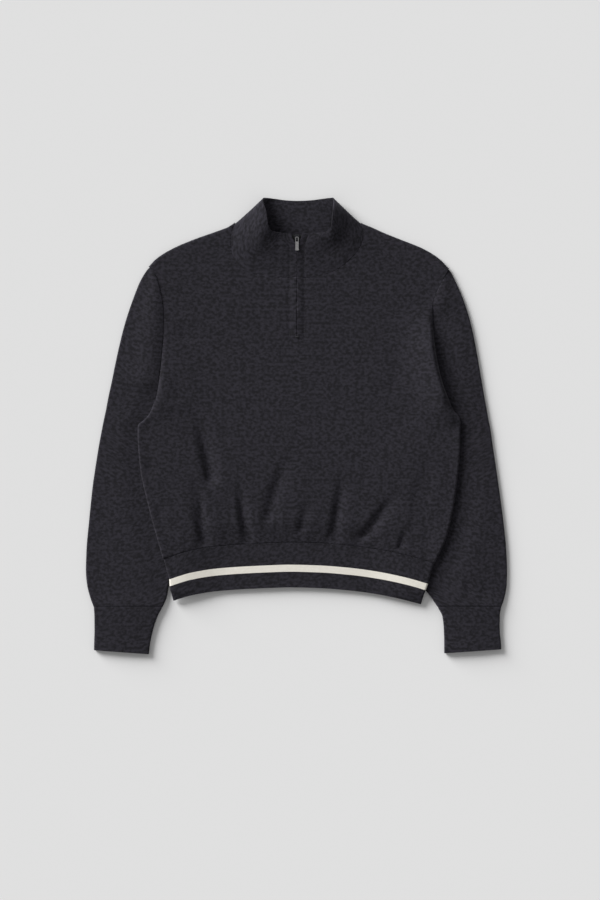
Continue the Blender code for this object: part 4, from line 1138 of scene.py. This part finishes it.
@dataclass
class Sleeve:
    """A sleeve: a laid tube from above its shoulder tip to the cuff, cut off along its armhole seam."""

    name: str
    node: str
    sections: Sequence[Section]
    armhole: Curve
    underarm_y: float
    creases: Sequence[Crease]
    knit: bpy.types.Material
    area: float
    rings: int = 120
    across: int = 64
    flat: tuple[float, float] = (0.36, 0.56)
    hangs_from: float = 15.0  # from the body's edge on the right, up to where its shadow keeps the top flat
    hangs_over: float = 50.0  # the width over which it then rises
    shaded_below: float = 205.0
    gather_share: float = 1.6
    to_cuff_y: float = -262.0

    def top(self, now: Section, side: int, w: float, x: float, y: float) -> float:
        """Height of the upper layer.

        Args:
            now: This ring's sizes.
            side: -1 on the left, 1 on the right.
            w: Share of the way across.
            x: Where, across the garment.
            y: Where, up the garment.

        Returns:
            Millimetres above the table.
        """
        edge = float(self.armhole(y))
        beside, width = side * (x - edge), max(side * (now.outer_x - edge), 1.0)
        seen = 1 - min(max(beside / width, 0.0), 1.0)
        wave = math.sin(math.pi * seen ** CROWN_LEAN)
        above = float(ease((y - self.underarm_y - 28) / 30))
        if side > 0:
            beside_body = float(ease((beside - self.hangs_from) / self.hangs_over))
            shaded = float(ease((self.shaded_below - y) / 40.0))
        else:
            beside_body, shaded = 0.45 * float(ease((beside - 2) / 34)), 0.0
        clear = above * (1 - shaded * (1 - float(ease((beside - self.hangs_from - 1) / self.hangs_over))))
        free = max(clear, beside_body) * float(ease((width - 4) / 50))
        gathers = self.gather_share * float(trough(self.creases, x, y)) if self.creases else 0.0
        to_seam = SEAM_RISE - SEAM_DIP * shaded if side > 0 else SEAM_RISE + LEFT_RISE
        to_seam *= above * float(ease((seen - 0.35) / 0.6)) * float(ease((width - 4) / 12))
        height = WALL / 2 + 2 * FOLD_RADIUS + now.crown * wave * free + to_seam - gathers * wave
        to_cuff = float(ease((self.to_cuff_y - y) / 24.0))
        return height + (cuff_top(w) - 0.25 - height) * to_cuff

    def slant(self, curves: Sequence[Curve], k: float, end: int) -> float:
        """Sine of the angle between a ring and the sleeve's outer (end 0) or inner (end 2) edge."""
        before, after = ([float(c(k + d)) for c in curves[end : end + 2]] for d in (-0.35, 0.35))
        edge = np.array(after) - np.array(before)
        ring = np.array([float(curves[i + 2](k) - curves[i](k)) for i in (0, 1)])
        turned = abs(edge[0] * ring[1] - edge[1] * ring[0])
        return max(float(turned / (np.linalg.norm(edge) * np.linalg.norm(ring))), LEAST_SLANT)

    def build(self) -> None:
        """Makes the sleeve."""
        side = -1 if self.sections[0].outer_x < 0 else 1
        curves = by_row(self.sections)
        loops = []
        for ring in range(self.rings + 1):
            k = (len(self.sections) - 1) * ring / self.rings
            now = Section(*(float(c(k)) for c in curves))
            loops.append(tube_ring(
                (now.outer_x, now.outer_y), (now.inner_x, now.inner_y),
                lambda w, x, y, now=now: self.top(now, side, w, x, y), lambda x, y: WALL / 2,
                FOLD_RADIUS, WALL, self.across, [self.slant(curves, k, end) for end in (0, 2)]))
        thing = tube(self.name, loops, WALL)
        line = []
        for y in (*np.arange(264.0, self.underarm_y + 2.0, -3.0), self.underarm_y + 2.0):
            gap = ARMHOLE_GAP - 1.0 * float(ease((y - 240.0) / 10.0))
            line.append((float(self.armhole(y)) + side * gap, float(y)))
        cut_with(thing, line + [(side * 120.0, line[-1][1]), (side * 120.0, 275.0), (line[0][0], 275.0)])
        finished(thing, self.knit, Slot.KNIT, GARMENT, self.node)


@dataclass
class Cuff:
    """A doubled knit cuff, lying flat."""

    name: str
    node: str
    corners: Sequence[Corner]
    knit: bpy.types.Material
    area: float
    rings: int = 26
    across: int = 40
    flat: tuple[float, float] = (0.22, 0.08)

    def build(self) -> None:
        """Makes the cuff."""
        curves = by_row(self.corners)
        loops = []
        for ring in range(self.rings + 1):
            now = Corner(*(float(c((len(self.corners) - 1) * ring / self.rings)) for c in curves))
            if not ring:
                now = now._replace(outer_y=now.outer_y + RIM, inner_y=now.inner_y + RIM)
            loops.append(tube_ring(
                (now.outer_x, now.outer_y), (now.inner_x, now.inner_y),
                lambda w, x, y: cuff_top(w), lambda x, y: BAND_WALL / 2, FOLD_RADIUS, BAND_WALL, self.across))
        thing = tube(self.name, loops, BAND_WALL, RIM)
        finished(thing, self.knit, Slot.BAND, GARMENT, self.node)


@dataclass
class HemBand:
    """The doubled band at the hem, with its knitted-in stripe."""

    knit: bpy.types.Material
    cream: bpy.types.Material
    stripe_from: float = 34.4
    stripe_high: float = 11.2
    rings: int = 48
    across: int = 150
    flat: tuple[float, float] = (0.86, 0.072)
    area: float = 0.06122

    def build(self) -> None:
        """Makes the band and colours the stripe's faces."""
        height = BAND_TOP_Y - BAND_BOTTOM_Y
        downs = np.linspace(-RIM, height, self.rings + 1)
        for mark in (self.stripe_from, self.stripe_from + self.stripe_high):
            downs[np.abs(downs - mark).argmin()] = mark
        loops = []
        for down in downs:
            def end(edge: Curve, x: float, down: float = down) -> float:
                """X where this ring meets a side's outline."""
                for _ in range(12):
                    x = float(edge(float(band_top(x)) - down))
                return x

            def bottom(x: float, y: float, down: float = down) -> float:
                """Height of the lower layer."""
                return BAND_WALL / 2 + float(lift(x, float(band_top(x)) - down))

            def top(w: float, x: float, y: float, down: float = down) -> float:
                """Height of the upper layer."""
                raised = float(lift(x, float(band_top(x)) - down, FRONT_RUN, FRONT_FADE))
                air = BAND_AIR * (1 - LEVELLING * raised / LIFT)
                return 1.5 * BAND_WALL + raised + air + 0.6 * math.sin(math.pi * min(max(w, 0.0), 1.0))

            ring = tube_ring((end(left_edge, -205.0), 0.0), (end(right_edge, 205.0), 0.0), top, bottom,
                             SIDE_RADIUS, BAND_WALL, self.across)
            loops.append([(x, float(band_top(x)) - down, z) for x, y, z in ring])
        thing = tube("hem_band_knit", loops, BAND_WALL, RIM)
        thing.data.materials.append(self.knit)
        thing.data.materials.append(self.cream)
        for face in thing.data.polygons:
            x, y = face.center.x / MM - PLACE_X, face.center.y / MM - PLACE_Y
            down = float(band_top(x)) - y
            if self.stripe_from < down < self.stripe_from + self.stripe_high:
                face.material_index = 1
        finished(thing, self.knit, Slot.BAND, GARMENT, "hem_band")


@dataclass
class StandCollar:
    """The doubled stand collar, open at the zip."""

    knit: bpy.types.Material
    columns: int = 240
    rows: int = 36
    flat: tuple[float, float] = (0.47, 0.08)
    area: float = 0.02785

    def build(self) -> None:
        """Makes the collar."""
        last = len(COLLAR) - 1
        grid = [[collar_point(last * i / self.columns, j / self.rows, True) for j in range(self.rows + 1)]
                for i in range(self.columns + 1)]
        points = np.array(grid)
        around = np.linalg.norm(np.diff(points[:, self.rows // 2], axis=0), axis=1).cumsum()
        around = np.concatenate([[0.0], around])
        up = np.linalg.norm(np.diff(points, axis=1), axis=2).cumsum(axis=1)
        up = np.concatenate([np.zeros((len(points), 1)), up], axis=1)
        uv = np.stack([np.repeat(around[:, None], self.rows + 1, axis=1), up], axis=2) * MM
        thing = cloth("stand_collar", grid, uv.tolist(), BAND_WALL, round_rim=RIM)
        finished(thing, self.knit, Slot.BAND, GARMENT, "collar")


def beside_zip(y: float) -> tuple[float, float]:
    """Height of the cloth's middle surface beside the zip, and how much it rises with y."""
    def height(at: float) -> float:
        """Height at this Y."""
        low, high = COLLAR[1].seam_y, COLLAR[1].rim_y
        if at < low:
            return float(front_middle(ZIP_X - 12.0, at, False))
        return collar_point(1.0, (at - low) / (high - low))[2]

    above, below = min(y + 2.0, 308.0), y - 2.0
    return height(y), (height(above) - height(below)) / (above - below)


def cube(name: str, size: Sequence[float], at: Sequence[float] = (0, 0, 0)) -> bpy.types.Object:
    """Adds a box, in millimetres, and enters edit mode with nothing selected."""
    bpy.ops.object.select_all(action="DESELECT")
    bpy.ops.mesh.primitive_cube_add(size=MM, location=[v * MM for v in at])
    thing = bpy.context.object
    thing.name = name
    bpy.ops.object.mode_set(mode="EDIT")
    bpy.ops.mesh.select_all(action="SELECT")
    bpy.ops.transform.resize(value=size)
    bpy.ops.mesh.select_all(action="DESELECT")
    return thing


def pick(thing: bpy.types.Object, kind: str, wanted: Callable[[object], bool]) -> None:
    """Selects, in edit mode, the faces or edges that a test takes.

    Args:
        thing: The object in edit mode.
        kind: "FACE" or "EDGE".
        wanted: Takes a face or an edge of its BMesh, or leaves it.
    """
    bpy.ops.mesh.select_mode(type=kind)
    shape = bmesh.from_edit_mesh(thing.data)
    for part in (*shape.verts, *shape.edges, *shape.faces):
        part.select_set(False)
    for part in shape.faces if kind == "FACE" else shape.edges:
        if wanted(part):
            part.select_set(True)
    shape.select_flush_mode()
    bmesh.update_edit_mesh(thing.data)


def joined(name: str, pieces: Sequence[bpy.types.Object]) -> bpy.types.Object:
    """Joins the pieces into one, with its place in its mesh."""
    bpy.ops.object.select_all(action="DESELECT")
    for piece in pieces:
        piece.select_set(True)
    bpy.context.view_layer.objects.active = pieces[0]
    if len(pieces) > 1:
        bpy.ops.object.join()
    bpy.ops.object.transform_apply(location=True, rotation=True, scale=True)
    pieces[0].name = pieces[0].data.name = name
    return pieces[0]


def smooth_by_angle(thing: bpy.types.Object) -> None:
    """Smooth shading but at sharp edges."""
    alone(thing)
    bpy.ops.object.shade_smooth_by_angle(angle=math.radians(40))


def soften(thing: bpy.types.Object, width: float, degrees: float) -> None:
    """Bevels the edges sharper than an angle, by this width in millimetres."""
    applied(thing, "BEVEL", width=width * MM, segments=2, limit_method="ANGLE",
            angle_limit=math.radians(degrees))


def upright(edge: bmesh.types.BMEdge) -> bool:
    """Whether an edge stands on end."""
    return abs(edge.verts[0].co.z - edge.verts[1].co.z) > 1.0 * MM


def set_down(thing: bpy.types.Object, at: Vector, tilt: float) -> None:
    """Moves a piece made round the origin to its place, tilted about X, with the place in its mesh."""
    thing.data.transform(Matrix.Translation(at) @ Matrix.Rotation(tilt, 4, "X"))


class Laid(NamedTuple):
    """Where a copy lies: its middle, its turn about Z and how much it rises."""

    x: float
    y: float
    z: float
    turn: float
    rise: float


def copied(name: str, first: bpy.types.Object, places: Sequence[Laid]) -> bpy.types.Object:
    """Lays copies of a piece made round the origin, and joins them.

    Args:
        name: The joined piece's name.
        first: The piece, which isn't kept.
        places: Where each copy lies.

    Returns:
        The joined piece.
    """
    copies = []
    for at in places:
        copy = first.copy()
        copy.data = first.data.copy()
        bpy.context.scene.collection.objects.link(copy)
        turned = Matrix.Rotation(at.turn, 4, "Z") @ Matrix.Rotation(math.atan(at.rise), 4, "X")
        copy.data.transform(Matrix.Translation(Vector(placed(at.x, at.y, at.z))) @ turned)
        copies.append(copy)
    bpy.data.objects.remove(first, do_unlink=True)
    return joined(name, copies)


@dataclass
class Zip:
    """The zip: its tape, teeth, slider and pull tab."""

    tape: bpy.types.Material
    teeth: bpy.types.Material
    metal: bpy.types.Material
    dark_metal_and_shade: bpy.types.Material
    tooth_pitch: float = 1.5
    tooth_shift: float = 0.2
    tooth_sunk: float = 0.85
    tape_columns: int = 24
    tape_rows: int = 112

    def build_tape(self) -> None:
        """The woven tape under the two flaps."""
        drop = BAND_WALL / 2 + SEAM_GAP + TAPE_THICKNESS / 2
        low, high = SLIT_END_Y - 6.0, 305.5
        grid, uv = [], []
        for i in range(self.tape_columns + 1):
            across = TAPE_WIDTH * (i / self.tape_columns - 0.5)
            column = []
            for j in range(self.tape_rows + 1):
                y = low + (high - low) * j / self.tape_rows
                height, slope = beside_zip(y)
                column.append((ZIP_X + across, y, height - drop * math.hypot(1.0, slope)))
            grid.append(column)
            uv.append([(x * MM, y * MM) for x, y, _ in column])
        thing = cloth("zip_tape_strip", grid, uv, TAPE_THICKNESS, round_rim=0.3)
        finished(thing, self.tape, Slot.TAPE, GARMENT, "zip_tape")

    def build_teeth(self) -> None:
        """The coil's teeth, modelled once and copied up the slit."""
        first = cube("zip_tooth", (0.62, 0.95, 1.0))
        pick(first, "FACE", lambda f: abs(f.normal.x) > 0.9)
        bpy.ops.transform.resize(value=(1.0, 0.7, 0.7))
        bpy.ops.mesh.select_all(action="SELECT")
        bpy.ops.mesh.bevel(offset=0.16 * MM, segments=1, affect="EDGES")
        bpy.ops.object.mode_set(mode="OBJECT")
        places = []
        for i in range(int((SLIDER_Y - 8.0 - SLIT_END_Y) / self.tooth_pitch)):
            y = SLIT_END_Y + 1.6 + i * self.tooth_pitch
            height, slope = beside_zip(y)
            x = ZIP_X + (self.tooth_shift if i % 2 else -self.tooth_shift)
            places.append(Laid(x, y, height - self.tooth_sunk, 0.0, slope))
        finished(copied("zip_teeth", first, places), self.teeth, Slot.TAPE, GARMENT)

    def build_slider(self) -> None:
        """The slider: a rounded body, open along its foot, under a bent crown that holds the tab."""
        height, slope = beside_zip(SLIDER_Y)
        low = -BAND_WALL / 2
        size = (SLIDER_WIDTH, SLIDER_LENGTH, SLIDER_THICKNESS)
        body = cube("zip_slider_body", size, (0, 0, low + SLIDER_THICKNESS / 2))
        pick(body, "EDGE", upright)
        bpy.ops.mesh.bevel(offset=1.6 * MM, segments=4, affect="EDGES")
        pick(body, "FACE", lambda f: f.normal.z > 0.9)
        bpy.ops.mesh.inset(thickness=0.9 * MM)
        bpy.ops.mesh.extrude_region_move(TRANSFORM_OT_translate={"value": (0, 0, -0.3 * MM)})
        pick(body, "FACE", lambda f: f.normal.y < -0.9 and f.calc_center_median().y < -4 * MM)
        bpy.ops.mesh.inset(thickness=0.5 * MM)
        bpy.ops.mesh.extrude_region_move(TRANSFORM_OT_translate={"value": (0, 2.0 * MM, 0)})
        bpy.ops.object.mode_set(mode="OBJECT")
        soften(body, 0.18, 35)

        top = low + SLIDER_THICKNESS
        radius = CROWN_LENGTH / 2 - 0.6
        crown = cube("zip_crown", (CROWN_WIDTH * 0.85, 1.1, 0.5), (0, -radius, top - 0.2))
        pick(crown, "FACE", lambda f: f.normal.z > 0.9)
        bpy.ops.mesh.spin(steps=14, angle=math.pi, center=(0, 0, (top + 0.05) * MM), axis=(-1, 0, 0))
        bpy.ops.mesh.select_all(action="SELECT")
        bpy.ops.mesh.remove_doubles(threshold=0.00002)
        bpy.ops.mesh.normals_make_consistent(inside=False)
        bpy.ops.object.mode_set(mode="OBJECT")
        soften(crown, 0.22, 50)
        thing = joined("slider_and_crown", [body, crown])
        set_down(thing, Vector(placed(ZIP_X, SLIDER_Y, height)), math.atan(slope))
        smooth_by_angle(thing)
        finished(thing, self.dark_metal_and_shade, Slot.METAL, GARMENT, "zip_slider")

    def build_tab(self) -> None:
        """The pull tab: a long rounded plate with a window for the crown and a sunken face."""
        height, slope = beside_zip(SLIDER_Y)
        tilt = math.atan(slope)
        top = -BAND_WALL / 2 + SLIDER_THICKNESS
        bar = Matrix.Rotation(tilt, 3, "X") @ Vector((0, 0, (top + CROWN_EYE_HEIGHT / 2 + 0.02) * MM))
        half = TAB_THICKNESS / 2
        plate = cube("zip_tab_plate", (TAB_WIDTH, TAB_LENGTH, TAB_THICKNESS), (0, half - TAB_LENGTH / 2, 0))
        pick(plate, "EDGE", upright)
        bpy.ops.mesh.bevel(offset=2.2 * MM, segments=6, affect="EDGES")
        pick(plate, "FACE", lambda f: abs(f.normal.z) > 0.9)
        bpy.ops.mesh.inset(thickness=0.75 * MM, use_individual=True)
        bpy.ops.transform.resize(value=(1.0, 1.0, 0.68))
        pick(plate, "FACE", lambda f: f.calc_center_median().y > -2.4 * MM)
        bpy.ops.transform.resize(value=(0.78, 1.0, 1.0))
        bpy.ops.object.mode_set(mode="OBJECT")
        window = cube("zip_tab_window", (TAB_WINDOW_WIDTH, TAB_WINDOW_LENGTH, 4 * TAB_THICKNESS),
                      (0, -half - TAB_WINDOW_LENGTH / 2, 0))
        pick(window, "EDGE", upright)
        bpy.ops.mesh.bevel(offset=1.0 * MM, segments=4, affect="EDGES")
        bpy.ops.object.mode_set(mode="OBJECT")
        applied(plate, "BOOLEAN", operation="DIFFERENCE", solver="EXACT", object=window)
        bpy.data.objects.remove(window, do_unlink=True)
        soften(plate, 0.16, 40)
        thing = joined("pull_tab_plate", [plate])
        set_down(thing, Vector(placed(ZIP_X, SLIDER_Y, height)) + bar, tilt + math.radians(TAB_EXTRA_TILT))
        smooth_by_angle(thing)
        finished(thing, self.metal, Slot.METAL, PULL_TAB, "zip_pull_tab")


@dataclass
class TopStitching:
    """The rows of stitches that hold the zip's tape."""

    thread: bpy.types.Material
    length: float = 2.3
    pitch: float = 3.1
    thick: float = 0.5

    def places(self) -> list[Laid]:
        """Where each stitch lies: up both sides of the zip, up the collar, and across the foot."""
        found = []
        count = int((COLLAR[0].seam_y - 4.0 - SLIT_END_Y) / self.pitch)
        for side in (-1, 1):
            x = ZIP_X + side * PLACKET_HALF
            for i in range(count + 1):
                y = SLIT_END_Y + 1.0 + i * self.pitch
                rise = float(front_middle(x, y + 1.0) - front_middle(x, y - 1.0)) / 2.0
                found.append(Laid(x, y, float(front_middle(x, y)) + WALL / 2, 0.0, rise))
            for i in range(1, 20):
                v = 0.02 + 0.92 * i / 20
                k = 0.9 if side < 0 else 28.85
                x1, y1, z1 = collar_point(k, v, True)
                x2, y2, z2 = collar_point(k, v + 0.02, True)
                turn, rise = math.atan2(x1 - x2, y2 - y1), (z2 - z1) / (y2 - y1)
                found.append(Laid(x1, y1, z1 + BAND_WALL / 2, turn, rise))
        for i in range(8):
            x = ZIP_X + (i - 3.5) * self.pitch
            found.append(Laid(x, SLIT_END_Y, float(front_middle(x, SLIT_END_Y)) + WALL / 2, math.pi / 2, 0.0))
        bar_z = float(front_middle(ZIP_X + 3.0, SLIT_END_Y + 2.0)) + WALL / 2 + 0.1
        found += [Laid(ZIP_X + (i - 5) * 0.42, SLIT_END_Y + 1.9, bar_z, 0.0, 0.0) for i in range(11)]
        return found

    def build(self) -> None:
        """Models one stitch and lays its copies."""
        first = cube("stitch", (self.thick, self.length, self.thick))
        pick(first, "FACE", lambda f: abs(f.normal.y) > 0.9)
        bpy.ops.mesh.extrude_region_move(TRANSFORM_OT_translate={"value": (0, 0, -0.3 * MM)})
        bpy.ops.mesh.select_all(action="SELECT")
        bpy.ops.mesh.remove_doubles(threshold=0.00001)
        bpy.ops.mesh.bevel(offset=0.12 * MM, segments=1, affect="EDGES")
        bpy.ops.object.mode_set(mode="OBJECT")
        finished(copied("zip_top_stitches", first, self.places()), self.thread, Slot.TAPE, GARMENT)


@dataclass
class Studio:
    """A pale table, soft light from the upper left, and the camera straight above."""

    table: tuple[float, float, float] = (0.80, 0.80, 0.80)
    table_size: float = 14.0
    table_drop: float = 0.0004
    key: float = 5.45
    fill: float = 0.335
    towards_key: tuple[float, float, float] = (-0.68, 0.60, 0.335)
    softness: float = 34.0
    camera_at: tuple[float, float, float] = (0.0057, -0.0385, 4.0)

    def build(self) -> None:
        """Makes the floor, the lights and the camera."""
        bpy.ops.object.select_all(action="DESELECT")
        bpy.ops.mesh.primitive_plane_add(size=self.table_size, location=(0, 0, -self.table_drop))
        floor = bpy.context.object
        floor.name = "table"
        made, nodes, shader = started("pale_paper")
        where = nodes.add("TexCoord").outputs["Object"]
        grain = nodes.add("TexNoise", {"Vector": where, "Scale": 350.0, "Detail": 2.0}).outputs[0]
        pale = tuple(c * 0.985 for c in self.table)
        colour = mix(nodes, grain, (*self.table, 1.0), (*pale, 1.0))
        nodes.feed(shader, Base_Color=colour, Roughness=0.9, Specular_IOR_Level=0.0)
        floor.data.materials.append(made)

        lamp = bpy.data.lights.new("key", "SUN")
        lamp.energy, lamp.angle = self.key, math.radians(self.softness)
        light = bpy.data.objects.new("key", lamp)
        light.rotation_euler = Vector(self.towards_key).to_track_quat("Z", "Y").to_euler()
        bpy.context.scene.collection.objects.link(light)
        world = bpy.data.worlds.new("fill")
        world.use_nodes = True
        world.node_tree.nodes["Background"].inputs[0].default_value = (1, 1, 1, 1)
        world.node_tree.nodes["Background"].inputs[1].default_value = self.fill
        bpy.context.scene.world = world

        view = bpy.data.cameras.new("above")
        view.sensor_fit, view.sensor_height, view.lens = "VERTICAL", 36.0, 100.0
        camera = bpy.data.objects.new("above", view)
        camera.location = self.camera_at
        bpy.context.scene.collection.objects.link(camera)
        bpy.context.scene.camera = camera
        bpy.context.scene.view_settings.view_transform = "Standard"


def main() -> None:
    """Builds the pullover, piece by piece, and the studio round it."""
    logging.basicConfig(level=logging.INFO, format="%(message)s")
    heather, stitches = heather_group(), stitch_group()
    knit, stand, band, cream = (finish.material(heather, stitches) for finish in (
        KnitFinish("heathered_charcoal_knit", (0.0064, 0.0058, 0.0084), (0.0240, 0.0221, 0.0303)),
        # painted light: the collar's knit is made lighter than the body's to make up for its front sloping
        # away from the key light; it is the same yarn
        KnitFinish("heathered_charcoal_stand_painted_light", (0.0070, 0.0064, 0.0092), (0.0268, 0.0248, 0.0338)),
        # darker than the body's knit: partly the denser tone of the doubled knit, partly painted shade of the
        # hem band curving down away from the light; the cuffs use it too
        KnitFinish("heathered_charcoal_band_and_shade", (0.0060, 0.0054, 0.0080), (0.0228, 0.0210, 0.0288)),
        KnitFinish("cream_stripe_knit", (0.74, 0.70, 0.62), (0.88, 0.85, 0.78), contrast=0.6, sheen=0.05),
    ))
    tape = TapeFinish("black_zip_tape", (0.004, 0.004, 0.005), 0.7).material()
    teeth = TapeFinish("dark_zip_teeth", (0.02, 0.02, 0.022), 0.4, 0.4).material()
    thread = TapeFinish("charcoal_thread", (0.018, 0.018, 0.022), 0.3, 0.8).material()
    metal = MetalFinish("polished_nickel").material()
    # the slider's near-black metal: partly its own dark finish, partly painted shade where it lies under the
    # tab and between the flaps
    dark_metal_and_shade = MetalFinish("black_nickel_and_shade", (0.09, 0.09, 0.10), (0.03, 0.03, 0.035)).material()

    Studio().build()
    Body(knit).build()
    Sleeve("left_sleeve", "sleeve_left", LEFT_SLEEVE, left_edge, LEFT_UNDERARM_Y, (), knit, 0.10818).build()
    Sleeve("right_sleeve", "sleeve_right", RIGHT_SLEEVE, right_edge, RIGHT_UNDERARM_Y, SLEEVE_CREASES, knit,
           0.10308).build()
    Cuff("left_cuff", "cuff_left", LEFT_CUFF, band, 0.01451).build()
    Cuff("right_cuff", "cuff_right", RIGHT_CUFF, band, 0.01366).build()
    HemBand(band, cream).build()
    StandCollar(stand).build()
    zip_parts = Zip(tape, teeth, metal, dark_metal_and_shade)
    zip_parts.build_tape()
    zip_parts.build_teeth()
    zip_parts.build_slider()
    zip_parts.build_tab()
    TopStitching(thread).build()


if __name__ == "__main__":
    main()
